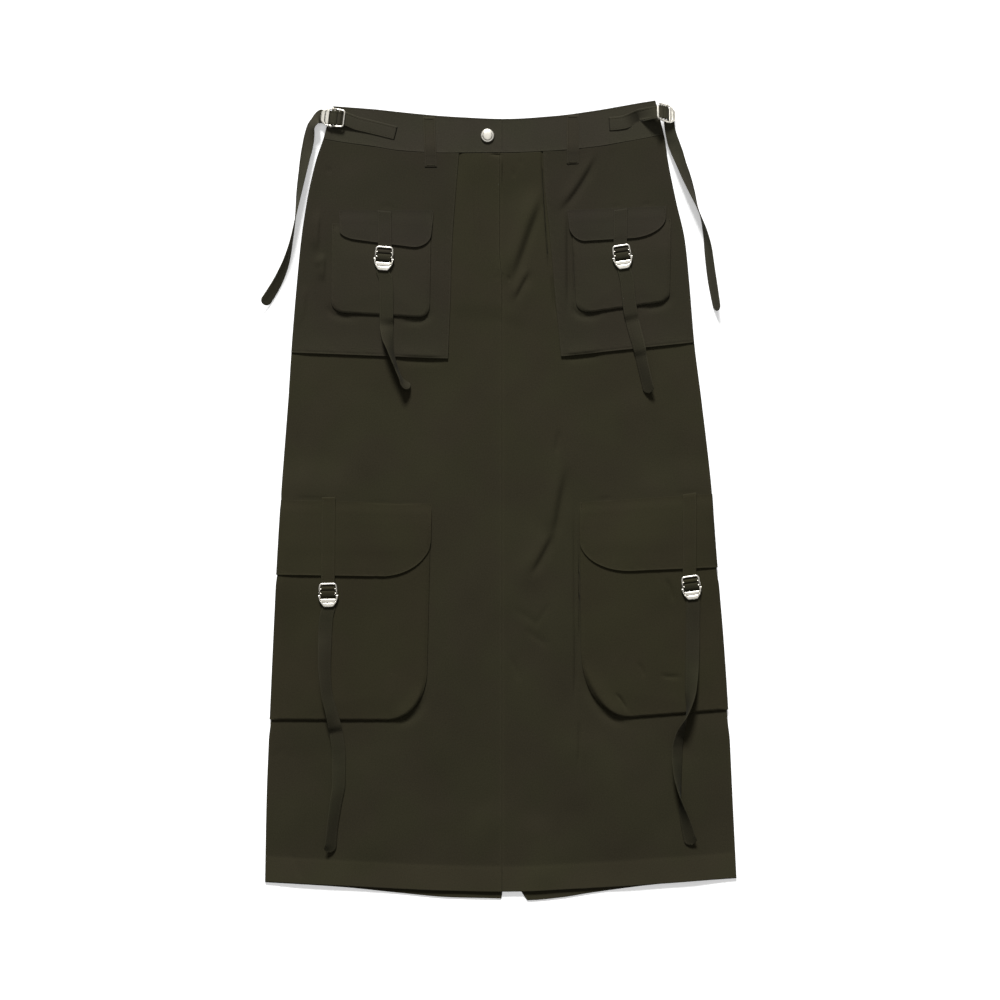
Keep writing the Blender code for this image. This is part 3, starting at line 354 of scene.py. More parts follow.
def cotton(name, colour, paler=0, middle=0, reach=1):
    """Cotton drill: ribs that climb at 45 degrees, flecked yarn, uneven dye and paler worn edges.

    The ribs follow the piece's own cut. The colour runs between a dark and a light shade of it,
    by flecks, by the dye, by how near an edge is, and by painted light and shade along Y:
    `paler` from `reach` below `middle` to `reach` above it.
    """
    dull = {"Roughness": 0.88, "Specular IOR Level": 0.06, "Sheen Weight": 0.01, "Sheen Roughness": 0.5}
    material, tree, surface = new_finish(name, dull)
    cut = add_node(tree, "ShaderNodeUVMap", uv_map="cut").outputs["UV"]
    place = add_node(tree, "ShaderNodeTexCoord").outputs["Object"]
    scale = 2 * math.pi / (10 * math.sqrt(2) * TWILL)  # the texture's phase is 10 (x + y) times this
    waves = {"Vector": cut, "Scale": scale, "Distortion": 0.6, "Detail": 1.0}
    ribs = add_node(tree, "ShaderNodeTexWave", waves, bands_direction="DIAGONAL").outputs["Fac"]
    flecks = noise(tree, cut, 620.0, 2.0, 0.6)
    dye = noise(tree, place, 9.0, 3.0, 0.55)
    worn = add_node(tree, "ShaderNodeAttribute", attribute_name="edge").outputs["Fac"]
    # painted light and shade: the colour is made paler or darker along Y by `paler`
    along = add_node(tree, "ShaderNodeSeparateXYZ", {0: place}).outputs["Y"]
    ends = {"Value": along, "From Min": middle - reach, "From Max": middle + reach}
    ends.update({"To Min": MIDDLE_SHADE - paler, "To Max": MIDDLE_SHADE + paler})
    painted_light_along_y = add_node(tree, "ShaderNodeMapRange", ends).outputs["Result"]
    shade = weighted(tree, (flecks, 1.0), (ribs, 0.16), (dye, 0.6), (worn, 0.35), (painted_light_along_y, 1.0))
    light = np.array(linear(colour)[:3]) * DYE
    hues = []
    for tint in (BROWNER, GREENER):
        ramp = add_node(tree, "ShaderNodeValToRGB", {"Fac": shade})
        ramp.color_ramp.elements[0].color = (*light * tint * 0.7, 1)
        ramp.color_ramp.elements[1].color = (*light * tint * 1.3, 1)
        hues.append(ramp.outputs["Color"])
    cast = {"Value": noise(tree, place, 17.0, 1.0, 0.4), "From Min": 0.38, "From Max": 0.62}
    cast = add_node(tree, "ShaderNodeMapRange", cast).outputs["Result"]
    mixed = add_node(tree, "ShaderNodeMixRGB", {"Fac": cast, "Color1": hues[0], "Color2": hues[1]})
    tree.links.new(mixed.outputs["Color"], surface["Base Color"])
    weave = weighted(tree, (flecks, 0.8), (ribs, 1.0))
    bump = add_node(tree, "ShaderNodeBump", {"Strength": 0.5, "Distance": 0.06 * MM, "Height": weave})
    tree.links.new(bump.outputs["Normal"], surface["Normal"])
    return material


# The drill is painted paler towards the waist, where the light comes from, and darker towards the hem:
# painted light.
drill = cotton("drill", (51.4, 48.8, 35.2), paler=0.16, middle=60 * MM, reach=360 * MM)
thread = cotton("thread", (58, 55, 42))

STITCH_PITCH = 3.2 * MM
STITCH_LENGTH = 2.6 * MM
STITCH_RADIUS = 0.24 * MM


def along_run(path, at):
    """Points of a path, and of anything given with it, at distances along its run."""
    steps = np.linalg.norm(np.diff(path[:, :3], axis=0), axis=1)
    run = np.concatenate([[0], np.cumsum(steps)])
    return np.stack([np.interp(at, run, path[:, k]) for k in range(path.shape[1])], axis=-1), run[-1]


def stitches(path, up, pitch=STITCH_PITCH, length=STITCH_LENGTH, radius=STITCH_RADIUS, turned=False):
    """A row of stitches along a path: spindles of thread with two poles and two rings of four.

    `up` is the cloth's normal at each point of the path. Turned stitches lie across the path.
    """
    whole = along_run(path, [0])[1]
    centres = np.arange(0.5, whole / pitch) * pitch
    places = np.concatenate([centres - pitch / 9, centres + pitch / 9, centres])
    first, last, middle = np.split(along_run(np.hstack([path, up]), places)[0], 3)
    normal = unit(middle[:, 3:])
    forward = unit(last[:, :3] - first[:, :3])
    aside = unit(np.cross(normal, forward))
    if turned:
        forward, aside = aside, forward
    spread = np.array([[1, 0], [0, 1], [-1, 0], [0, -1]]) * radius
    ring = lambda along: [(along * length, a, b) for a, b in spread]
    spindle = np.array([(-length / 2, 0, 0), *ring(-0.28), *ring(0.28), (length / 2, 0, 0)])
    axes = np.stack([forward, aside, normal], axis=1)
    vertices = middle[:, None, :3] + np.einsum("vk,nkc->nvc", spindle, axes)
    around = np.array([(k, (k + 1) % 4) for k in range(4)])
    near, far = around + 1, around + 5
    start = np.column_stack([np.zeros(4, int), near[:, 1], near[:, 0]])
    lower, upper = np.column_stack([near, far[:, 1]]), np.column_stack([near[:, 0], far[:, ::-1]])
    end = np.column_stack([far, np.full(4, 9)])
    faces = np.concatenate([start, lower, upper, end]) + 10 * np.arange(len(middle))[:, None, None]
    return vertices.reshape(-1, 3), faces.reshape(-1, 3)


def add_stitching(name, rows):
    """All rows of stitches of a piece as one mesh."""
    starts = np.cumsum([0] + [len(points) for points, _ in rows])
    vertices = np.concatenate([points for points, _ in rows])
    faces = np.concatenate([triangles + start for start, (_, triangles) in zip(starts, rows)])
    return add_piece(name, vertices, faces.tolist(), thread, uv=vertices[:, :2])


def on_top(x, y, height, rise):
    """Points of a line on a piece's upper face and the face's normals there."""
    step = 0.5 * MM
    z = height(x, y)
    slope_x = (height(x + step, y) - height(x - step, y)) / (2 * step)
    slope_y = (height(x, y + step) - height(x, y - step)) / (2 * step)
    normal = unit(np.stack([-slope_x, -slope_y, 1 + 0 * z], axis=-1))
    return np.stack([x, y, z + rise], axis=-1), normal


ROUND = {
    "left": lambda grid: grid[:, 0],
    "foot": lambda grid: grid[-1],
    "right": lambda grid: grid[::-1, -1],
    "top": lambda grid: grid[0, ::-1],
}
TURNED_EDGE = 0.24 * MM  # a turned and stitched edge is this much thicker
TURNED_PAST = 1.6 * MM  # as far as this past its last row of stitches
STITCH_TROUGH = 0.26 * MM  # each row draws it in by this much
TROUGH_WIDTH = 0.75 * MM
PUCKER = 0.1 * MM
PUCKER_REACH = 4 * MM


def seam_relief(points, seams):
    """How an outer face stands up at its stitched sides.

    A turned edge is a low plateau as far as its last row, each row of stitches a narrow trough,
    and the cloth puckers beside it in waves of two lengths along the seam.
    """
    relief = np.zeros(points.shape[:2])
    waves = np.sin(points[..., 0] / (2.1 * MM) + points[..., 1] / (1.7 * MM))
    waves = waves * np.sin(points[..., 0] / (5.3 * MM) - points[..., 1] / (6.7 * MM))
    for sides, rows in seams:
        away = from_sides(points, sides)
        relief += TURNED_EDGE * ease((rows[-1] * MM + TURNED_PAST - away) / (1.4 * MM))
        for row in rows:
            relief -= STITCH_TROUGH * np.exp(-(((away - row * MM) / TROUGH_WIDTH) ** 2))
            relief += PUCKER * waves * np.exp(-(((away - row * MM) / PUCKER_REACH) ** 2))
    return relief


def seam_rows(x, y, height, rise, seams):
    """Rows of stitches inside the named sides of a piece: the sides' line moved inwards.

    Where the moved line comes clearly nearer to the sides than that, as past the inside of a
    corner, it is left out.
    """
    flat = np.stack([x, y, 0 * x], axis=-1)
    made = []
    for sides, rows in seams:
        line = np.concatenate([ROUND[side](flat) for side in sides.split()])
        line = line[np.concatenate([[True], np.linalg.norm(np.diff(line, axis=0), axis=1) > 0.2 * MM])]
        inwards = unit(np.cross([0, 0, 1], np.gradient(line, axis=0)))
        for row in rows:
            path = line + inwards * row * MM
            clear = np.hypot(*(path[:, None, :2] - line[None, :, :2]).T).min(axis=0) > 0.9 * row * MM
            points, normals = on_top(path[clear, 0], path[clear, 1], height, rise)
            made.append(stitches(points, normals))
    return made


def cut_size(points):
    """The flat size of a piece: its longest row and longest column, and its area."""
    across, down = np.diff(points, axis=1), np.diff(points, axis=0)
    width = np.linalg.norm(across, axis=-1).sum(axis=1).max()
    length = np.linalg.norm(down, axis=-1).sum(axis=0).max()
    area = np.linalg.norm(np.cross(across[:-1], down[:, :-1]), axis=-1).sum()
    return (float(width), float(length)), float(area)


WORN_EDGE = 1.4 * MM  # reach of the paler wear along an edge
HEM_TURN = 31 * MM  # height of the turned-up hem, which is paler too
HEM_WEAR = 1.1  # as a share of the wear at an edge


def dress_piece(node, points, thickness, material, relief=0, uv=None, rows=()):
    """Replaces a CAD piece of cloth by a closed shell with its stitches, and works out its cut's size."""
    middle = points + normals_of(points) * (thickness + np.zeros(points.shape[:2]))[..., None] / 2
    vertices, faces = closed_shell(middle, thickness, relief)
    near = from_sides(points, "left right foot")
    hem = ease((HEM_TURN - edge_distance(points, "foot")) / MM) if node.startswith("front_panel") else 0
    edge = both_skins(np.maximum(np.exp(-near / WORN_EDGE), HEM_WEAR * hem))
    uv = both_skins(points[..., :2] if uv is None else uv)
    piece = add_piece(f"{node}_cloth", vertices, faces, material, uv, edge)
    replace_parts(piece, node)
    stitching = [add_stitching(f"{node}_stitching", rows)] if rows else []
    flat, area = cut_size(points)
    area = min(area, flat[0] * flat[1])


FLAT_TOP = 14 * MM  # reach of the pressing at a pocket's or a flap's top edge
PRESSED_DOWN = 0.3 * MM
PRESSED_THIN = 0.8  # share of the wall that the pressing takes away


def sew(node, x, y, height, thickness, material, seams=(), wrap=None, extra=(), flat_top=False):
    """A piece that lies at `height`, with rows of stitches inside its named sides.

    Where its top edge is pressed flat, it comes down to its ground there and its wall thins.
    """
    if flat_top:
        lies, top_x, top_y = height, x[0], y[0]
        down = lambda x, y: ease(1 - (np.interp(x, top_x, top_y) - y) / FLAT_TOP)
        height = lambda x, y: lies(x, y) - PRESSED_DOWN * down(x, y)
        thickness = thickness * (1 - PRESSED_THIN * down(x, y)[:, :1])
    points = np.stack([x, y, height(x, y)], axis=-1)
    rise = np.max(thickness) + TURNED_EDGE - STITCH_TROUGH - 0.05 * MM
    rows = [*seam_rows(x, y, height, rise, seams), *extra]
    uv = None
    if wrap:
        points = wrap(points)
        uv = np.stack([run_along(points, 1), points[..., 1]], axis=-1)
    dress_piece(node, points, thickness, material, seam_relief(points, seams), uv, rows)


HEM_SEAM = [("foot", (31,))]  # sides, and the rows of stitches inside them in millimetres
for side, left, right in (("left", left_side, vent_left), ("right", vent_right, right_side)):
    x, y = lay_out((left, right, waist_seam, back_hem), 6 * MM)
    sew(f"back_panel_{side}", x, y, back_underside, CLOTH, drill, HEM_SEAM)


# Front
#
# Two panels of the same drill. The left one laps over the right one along the fly, and below it
# they are seamed and topstitched. The hem is turned up and stitched 31 mm above its edge.

CROWN = 1.6 * MM  # the front stands off the back by this much inside its sides
CROWN_RAMP = 70 * MM
FOLDS_END = 20 * MM  # folds and unevenness die away this near to the sides
UNEVEN_END = 25 * MM
FLY_WIDTH = 33 * MM
FLY_FOOT = 262 * MM
FLY_CLEARANCE = 6 * MM  # the left front stays up this far beside the fly facing
FLY_FOOT_CLEARANCE = 22 * MM  # and this far below it
FLY_RAMP = 26 * MM  # and comes down over this
CENTRE_FRONT = table("y x", (425, -0.4), (300, -0.4), (262, 2.2), (150, 2.4), (-470, 2.4))
centre_front = line_through(CENTRE_FRONT, "x", "y")

# The largest folds: soft ridges from one end to the other
FOLDS = table(
    "x y end_x end_y height width",
    (36, 372, 12, 262, 1.6, 15),
    (30, 262, 12, 214, 1.1, 15),
    (70, 60, 60, -40, 1.5, 17),
    (58, -30, 30, -104, 1.4, 17),
    (66, -120, 70, -240, 1.2, 17),
    (88, -280, 92, -370, 1.2, 18),
    (-60, 130, -78, -60, 1.1, 24),
    (-40, -150, -58, -330, 1.1, 26),
    (150, 130, 170, 30, 1.1, 24),
    (-160, 130, -176, 30, 1.1, 24),
    (-150, -300, -160, -440, 1.3, 22),
    (140, -300, 150, -440, 1.3, 22),
    (-20, -370, -26, -466, 1.1, 18),
    (46, -380, 52, -466, 1.2, 18),
    (222, -310, 232, -440, 1.1, 20),
)

# Creases pressed into the front: each runs through three points, with a height, below 0 for a
# valley, and the widths of its two sides, the first on the left of its run
CREASES = table(
    "x y mid_x mid_y end_x end_y height left right",
    (48.6, 379, 25.4, 317, 6, 259, 3.0, 5.8, 10),
    (57, 377, 34, 314.6, 14, 256.6, -1.85, 6, 4.6),
    (35.4, 281, 23.4, 261, 13, 239, 1.7, 2.6, 7),
    (39.2, 279, 27.2, 259, 16.8, 237, -1.4, 6, 2.2),
    (115, 422, 92.6, 381, 65, 346, 2.0, 2.8, 8),
    (118.8, 420, 96.4, 379, 69, 343.6, -1.6, 6, 2.6),
    (-13, 415.4, -5, 415.2, 4, 414.4, -1.0, 1.5, 1.5),
    (-6, 269, -3.8, 267.6, -2, 266.2, -1.3, 1.5, 1.5),
    (8.4, 268, 10.8, 266.6, 13, 265.6, -1.3, 1.5, 1.5),
    (77, 356, 77.4, 290, 78, 216, 1.3, 2.6, 7),
    (81, 356, 81.4, 290, 82, 216, -1.85, 3, 2.4),
    (86.6, 318, 88.4, 275, 90.6, 228, -1.85, 1.3, 1.4),
    (49, 430, 53.6, 345, 61, 246, -1.85, 1.2, 1.3),
    (62.4, 274, 63.8, 250, 67.6, 216, -1.85, 1.7, 2.2),
    (72, 88, 69, 70, 67, 52, -1.0, 4, 3),
    (75, 50, 64, -5.4, 56.6, -52, 2.3, 5.8, 10),
    (83.4, 49.4, 72.4, -6.2, 65, -53.2, -1.8, 8, 4.8),
    (61, -34, 47.4, -61.4, 30, -91, 1.8, 3.4, 9),
    (66, -36.6, 52.4, -64, 35, -93.6, -1.6, 7, 3.2),
    (89, 6, 89.6, -90, 90, -170, -1.7, 2.2, 2),
    (90, -130, 90.4, -190, 89, -248, -1.85, 2.2, 2),
    (94.6, -14, 95, -110, 95.6, -206, -1.85, 1.2, 1.3),
    (96, -192, 118.4, -247, 160, -269, -1.85, 2.2, 6),
    (101, -190, 124, -241, 162, -262, 2.6, 11, 2.4),
    (-88, -216, -100.6, -254.6, -134, -268, -1.8, 5, 2.2),
    (-94, -215, -106, -249, -134, -261.4, 1.9, 2.4, 10),
    (-204, 238, -197, 223.4, -160, 221.6, -1.7, 2, 4),
    (-128, 219.4, -95, 216.6, -81.6, 234, -1.7, 2, 4),
    (89.6, 240, 97, 222.6, 132, 226.8, -1.7, 2, 4),
    (162, 231.4, 194, 235.6, 205.6, 252, -1.7, 2, 4),
    (72, 170.8, 98, 173.4, 128, 177, -1.2, 1.8, 5),
    (74, 176.8, 99, 179, 126, 182.4, 0.8, 7, 1.6),
    (-130, 170.6, -96, 169.4, -61, 168, -1.2, 1.8, 5),
    (-130, 176, -96, 174.8, -64, 173.4, 0.8, 7, 1.6),
    (95, -260, 95, -290, 94, -326, -1.3, 2, 1.6),
    (-217, 352, -219.6, 324, -220, 298, 2.0, 2.6, 8),
    (-210.4, 296, -212.6, 280, -211.4, 262, 2.2, 2.4, 7),
    (-210, 295, -215, 289, -222, 281, 1.3, 2.2, 5),
    (-79.6, 352, -79, 300, -78.6, 236, 1.0, 2.6, 6),
    (-232, 262, -236, 238, -240, 205, 0.9, 3, 6),
    (-212, 397, -206, 396, -200, 395, -0.9, 1.8, 1.6),
    (14, -128, 34, -141, 48, -150, -0.7, 5, 3.4),
    (26, -152, 44, -165, 62, -176, -0.8, 5, 3.4),
    (10, -184, 18, -200, 22, -220, -0.7, 4, 3),
    (60, -120, 50, -138, 36, -158, -0.6, 4, 3),
    (-252, 170, -250, 120, -246, 66, -0.7, 4, 3),
    (-246, 90, -241, 56, -238, 22, -0.6, 4, 3),
    (-250, -418, -244, -438, -240, -456, -0.8, 3, 2.4),
    (-273, -310, -266, -303, -258, -295, -1.1, 1.8, 1.6),
    (132.6, 424, 133.6, 410, 133, 392, -0.6, 2.4, 2),
    (-144, 350, -135, 353.6, -125, 348, -0.9, 1.3, 1.3),
    (131, 352.6, 138, 353.6, 145, 352.6, -0.8, 1.2, 1.2),
    (167, 355, 177, 356, 187, 355.4, -0.7, 1.2, 1.2),
    (-254, 2.4, -225, 2.0, -196, 0.6, -0.9, 1.3, 1.3),
    (-178, -1.4, -130, -2.8, -84, -3.2, -0.5, 1.2, 1.2),
    (113, 0.6, 126, 2.0, 138, 1.6, -0.9, 1.3, 1.3),
    (209, 8.6, 225, 9.6, 242, 9.4, -0.9, 1.3, 1.3),
    (137, -230, 146, -240, 152, -254, -1.7, 2.4, 2),
    (190, -208, 205, -211, 220, -210, -1.3, 2, 2),
    (164, -192, 170, -202, 172, -214, -1.2, 2, 2),
    (198, -92, 204, -106, 208, -126, -1.7, 2.4, 2),
    (12, 394, 16, 393, 19, 390, -0.7, 1.4, 1.4),
    (20, 405, 25, 405.4, 30, 404.6, -0.7, 1.4, 1.4),
)


def fold_height(x, y):
    """Each fold is a bell across its line that dies away past its two ends."""
    height = np.zeros(np.broadcast(x, y).shape)
    for fold in FOLDS:
        along = np.array([fold["end_x"] - fold["x"], fold["end_y"] - fold["y"]])
        length = np.hypot(*along)
        along /= length
        forward = (x - fold["x"]) * along[0] + (y - fold["y"]) * along[1]
        aside = (x - fold["x"]) * along[1] - (y - fold["y"]) * along[0]
        fade = plateau(forward, 0.25 * length, 0.75 * length, 0.35 * length)
        height += fold["height"] * fade * np.exp(-((aside / fold["width"]) ** 2))
    return height


CHORDS = 12


def crease_height(x, y, creases):
    """Each crease is a bell across a curve, with a width for each side, and thins to its ends.

    The curve is the parabola through the row's three points, taken as short chords.
    """
    x, y = np.broadcast_arrays(x, y)
    height = np.zeros(x.shape)
    share = np.linspace(0, 1, CHORDS + 1)
    weights = ((1 - share) * (1 - 2 * share), 4 * share * (1 - share), share * (2 * share - 1))
    for crease in creases:
        line_x = sum(w * crease[name] for w, name in zip(weights, ("x", "mid_x", "end_x")))
        line_y = sum(w * crease[name] for w, name in zip(weights, ("y", "mid_y", "end_y")))
        reach = 3 * max(crease["left"], crease["right"])
        near = (x > line_x.min() - reach) & (x < line_x.max() + reach)
        near &= (y > line_y.min() - reach) & (y < line_y.max() + reach)
        if not near.any():
            continue
        step_x, step_y = np.diff(line_x)[:, None], np.diff(line_y)[:, None]
        off_x, off_y = x[near] - line_x[:-1, None], y[near] - line_y[:-1, None]
        part = np.clip((off_x * step_x + off_y * step_y) / (step_x**2 + step_y**2), 0, 1)
        off_x, off_y = off_x - part * step_x, off_y - part * step_y
        distance = np.hypot(off_x, off_y)
        nearest = (distance.argmin(axis=0), np.arange(distance.shape[1]))
        on_left = (step_x * off_y - step_y * off_x)[nearest] > 0
        along = (nearest[0] + part[nearest]) / CHORDS
        width = np.where(on_left, crease["left"], crease["right"])
        thin = ease(np.minimum(along, 1 - along) / 0.35)
        height[near] += crease["height"] * thin * np.exp(-((distance[nearest] / width) ** 2))
    return height


def crown(x, y):
    inside = ease(side_distance(x, y) / CROWN_RAMP)
    return CROWN * inside + fold_height(x, y) * ease(side_distance(x, y) / FOLDS_END)


def front_base(x, y):
    """Height at which the front lies on the back."""
    return back_underside(x, y) + CLOTH + LAYER_GAP + crown(x, y)


def fly_lift(x, y):
    """The left front rides over the fly facing behind its closing edge."""
    above = ease((y - FLY_FOOT + FLY_FOOT_CLEARANCE) / FLY_RAMP + 1)
    across = plateau(x, -FLY_WIDTH - FLY_CLEARANCE, FLY_CLEARANCE / 2, FLY_RAMP)
    return (POCKET_CLOTH + LAYER_GAP) * across * above


def front_top(x, y):
    return front_base(x, y) + fly_lift(x, y) * (x < centre_front(y)) + CLOTH


UNEVEN = 0.22 * MM  # height of the cloth's soft unevenness
SEAM_RISE = 60 * MM  # the front rises to the waistband's seam over this length
SEAM_BETWEEN = (-45 * MM, 47.6 * MM)  # from patch to patch
BAND = 2.0 * MM  # wall of the waistband
BAND_END = 2.5 * MM  # the left end of the waistband laps this far past the middle
OVERLAP = 36 * MM  # the right waistband's underlap beneath it
OVERLAP_RAMP = 24 * MM
LAP_RISE = 1.9 * MM  # the right end rises to the left one by this much
LAP_REACH = 34 * MM


def band_base(x, y):
    return BAND + LAYER_GAP + crown(x, y)


def left_band(x, y):
    return band_base(x, y) + (BAND + LAYER_GAP) * ease((x + OVERLAP) / OVERLAP_RAMP + 1)


def right_band(x, y):
    """The right end of the band rises to the end of the left one that laps over it."""
    past_lap = x - BAND_END - 0.1 * MM
    return band_base(x, y) + LAP_RISE * (past_lap > 0) * ease(1 - past_lap / LAP_REACH)


def band_top(x, y):
    return np.where(x < BAND_END, left_band(x, y), right_band(x, y)) + BAND


def pressed(x, y):
    """The creases, a slight unevenness and the rise to the waistband's seam.

    Everything on the front follows it. Beside the patches the cloth comes up flush with the band.
    """
    waves = np.sin(x / (13 * MM) + 2 * np.sin(y / (41 * MM)))
    waves = waves * np.sin(y / (19 * MM) - 1.5 * np.sin(x / (37 * MM)))
    uneven = UNEVEN * waves * ease(side_distance(x, y) / UNEVEN_END)
    room = crown(x, y) + LAYER_GAP - 0.15 * MM
    to_seam = ease((y - waist_seam(x)) / SEAM_RISE + 1) * plateau(x, *SEAM_BETWEEN, 4 * MM)
    flush = np.maximum(band_top(x, y) - front_top(x, y) - 0.25 * MM, 0) * to_seam
    return np.maximum(crease_height(x, y, CREASES) + uneven, -room) + flush


left_lies = lambda x, y: front_base(x, y) + fly_lift(x, y) + pressed(x, y)
right_lies = lambda x, y: front_base(x, y) + pressed(x, y)
x, y = lay_out((left_side, centre_front, waist_seam, front_hem), 3 * MM)
FLY_STITCH = table("x y", (-31, 414), (-31.4, 352), (-29.4, 318), (-22, 294), (-10, 279), (-1.6, 275))
knots = np.linspace(0, 1, len(FLY_STITCH))
rows = [dict(point, t=t) for point, t in zip(FLY_STITCH, knots)]
turn_x, turn_y = (line_through(rows, column, "t")(np.linspace(0, 1, 40)) for column in ("x", "y"))
on_fly = [on_top(turn_x + aside, turn_y, left_lies, CLOTH - 0.02 * MM) for aside in (0, 6 * MM)]
fly_rows = [stitches(*line) for line in on_fly]
seams = [("right", (2,)), *HEM_SEAM]
sew("front_panel_left", x, y, left_lies, CLOTH, drill, seams, extra=fly_rows)
x, y = lay_out((centre_front, right_side, waist_seam, front_hem), 3.4 * MM, close=(0.02, 0.42, 3.2))
sew("front_panel_right", x, y, right_lies, CLOTH, drill, HEM_SEAM)


# Fly facing
#
# A curved strip of the pocket cloth, sewn inside the left front behind its closing edge. Only
# the stitches that hold it show.

fly_edges = (
    lambda y: 0 * y - FLY_WIDTH,
    lambda y: centre_front(y) - 1 * MM,
    lambda x: waist_seam(x) - GAP,
    lambda x: 0 * x + FLY_FOOT,
)
x, y = lay_out(fly_edges, 4 * MM, corners=((28 * MM, 62 * MM), (0, 0)))
sew("fly_facing", x, y, right_lies, POCKET_CLOTH, drill)


# Waistband
#
# A straight band of two layers of drill over a stiffener, topstitched all round. The back is one
# piece; in front the left end laps over the right end and buttons there.

band_cloth = cotton("waistband", (60, 57.4, 46.8))
x, y = lay_out((left_side, right_side, lambda x: waist_top(x) - 1 * MM, waist_seam), 5 * MM)
sew("waistband_back", x, y, lambda x, y: 0 * x, BAND, band_cloth)
right_edges = (lambda y: 0 * y - OVERLAP + 3 * MM, right_side, waist_top, waist_seam)
x, y = lay_out(right_edges, 2.5 * MM, close=(0.13, 0.19, 6))
seams = [("top foot", (2,))]
sew("waistband_front_right", x, y, right_band, BAND, band_cloth, seams)
x, y = lay_out((left_side, lambda y: 0 * y + BAND_END - 0.1 * MM, waist_top, waist_seam), 2.5 * MM)
seams = [("foot right top", (2,))]
sew("waistband_front_left", x, y, left_band, BAND, band_cloth, seams)


# Upper patches
#
# A large patch of drill on each hip, caught in the waist seam and the side seam and topstitched
# along its inner edge and its foot with two rows.

PATCH_LIFT = 1.0 * MM
LIFT_REACH = 26 * MM
patch_cloth = cotton("patch", (52, 49, 38))
PATCH_EDGES = table(
    "y left right",
    (425, -48.4, 51.2), (373, -52.8, 54), (331, -56, 58.6), (299, -57.8, 61.6), (238, -59.6, 67.2),
    (171, -62.4, 73.4),
)
left_patch_edge, right_patch_edge = (line_through(PATCH_EDGES, side, "y") for side in ("left", "right"))


def straight(first, second):
    """A straight edge through two points, as a function of the other coordinate."""
    (at, value), (end_at, end_value) = first, second
    slope = (end_value - value) / (end_at - at)
    return lambda where: (value + slope * (where / MM - at)) * MM


PATCH_FEET = {"left": straight((-252, 178), (-62.4, 170.6)), "right": straight((73, 173.2), (235, 190.4))}


def patch_base(x, y):
    """A patch lies on the front and lifts a little at its foot."""
    foot = np.where(x < 0, PATCH_FEET["left"](x), PATCH_FEET["right"](x))
    lift = ease((y - foot - LIFT_REACH) / -LIFT_REACH) * ease(side_distance(x, y) / LIFT_REACH)
    return front_top(x, y) + LAYER_GAP + PATCH_LIFT * lift


def patch_top(x, y):
    on_left = (x < left_patch_edge(y)) & (y > PATCH_FEET["left"](x))
    on_right = (x > right_patch_edge(y)) & (y > PATCH_FEET["right"](x))
    return np.where(on_left | on_right, patch_base(x, y) + POCKET_CLOTH, front_top(x, y))


patch_lies = lambda x, y: patch_base(x, y) + pressed(x, y)
for side, edges, sides, close in (
    ("left", (left_side, left_patch_edge), "foot right", (0.03, 0.3, 2.2)),
    ("right", (right_patch_edge, right_side), "left foot", (0.03, 0.5, 2.4)),
):
    x, y = lay_out((*edges, waist_seam, PATCH_FEET[side]), 3 * MM, close=close)
    sew(f"upper_patch_{side}", x, y, patch_lies, POCKET_CLOTH, patch_cloth, [(sides, (2, 8))])


# Upper pockets and flaps
#
# A bag pocket with round lower corners on each hip patch, its face standing off its sewn edges,
# and above it a flap that is sewn along its top edge alone and lies over the pocket's mouth.

UPPER_PUFF = 2.6 * MM
FLAP_LIFT = 0.7 * MM
FLAP_GAP = 0.5 * MM  # between a flap and its pocket
EDGE_ROUND = 2.6 * MM  # within this of its edge a pocket reaches this share of its height
EDGE_SHARE = 0.62
CROWN_REACH = 34 * MM  # and over this the rest of it
MOUTH_RAMP = 45 * MM
SEAM_RAMP = 28 * MM
pocket_cloth = cotton("pocket", (53, 50, 39))
# The upper flaps and their straps are painted a little darker than the pockets: painted shade that offsets
# how the flaps slope up towards the light.
flap_cloth = cotton("upper_flap", (50, 47, 38))

# Each edge runs through two points, (y, x) for a side and (x, y) for the top and the foot, and
# the corners are the widths and heights of the round lower ones, left and right
UPPER_POCKETS = {
    "left": {
        "left": ((331, -201.6), (240, -202)),
        "right": ((331, -82.8), (240, -84.6)),
        "top": ((-200, 333), (-83, 333)),
        "foot": ((-200, 226.6), (-86, 219.8)),
        "corners": ((17, 12), (12, 15)),
    },
    "right": {
        "left": ((331, 86.4), (240, 91.6)),
        "right": ((331, 205), (244, 203)),
        "top": ((86, 334), (205, 338)),
        "foot": ((92, 224), (203, 240)),
        "corners": ((20, 13), (13, 10)),
    },
}
UPPER_FLAPS = {
    "left": {
        "left": ((349, -193), (318, -192)),
        "right": ((349, -79.2), (312, -82.8)),
        "top": ((-193, 349), (-79, 349)),
        "foot": ((-192, 315.4), (-82, 301)),
        "corners": ((20, 13), (24, 23)),
    },
    "right": {
        "left": ((349, 80.4), (312, 85)),
        "right": ((354, 199.4), (325, 198.6)),
        "top": ((80, 349), (200, 354)),
        "foot": ((84, 310.4), (199, 317)),
        "corners": ((18, 19), (42, 25)),
    },
}


def inside_edge(x, y, edges, corners):
    """Distance inwards from the foot and the sides of a pocket, round its lower corners.

    Within a corner's ellipse it follows the ellipse. A side comes down twice as softly as the
    foot, and one that runs round the skirt has no corner and comes down four times as softly.
    """
    foot = y - edges["foot"](x)
    nearest = foot
    for (width, height), inwards in zip(corners, (x - edges["left"](y), edges["right"](y) - x)):
        if width == 0:
            nearest = np.minimum(nearest, inwards / 4)
            continue
        from_side, from_foot = np.maximum(1 - inwards / width, 0), np.maximum(1 - foot / height, 0)
        radius = np.maximum(np.hypot(from_side, from_foot), 1e-6)
        scale = (width / 2 * from_side**2 + height * from_foot**2) / radius**2
        in_corner = (from_side > 0) & (from_foot > 0)
        nearest = np.where(in_corner, (1 - radius) * scale, np.minimum(nearest, inwards / 2))
    return np.maximum(nearest, 0)


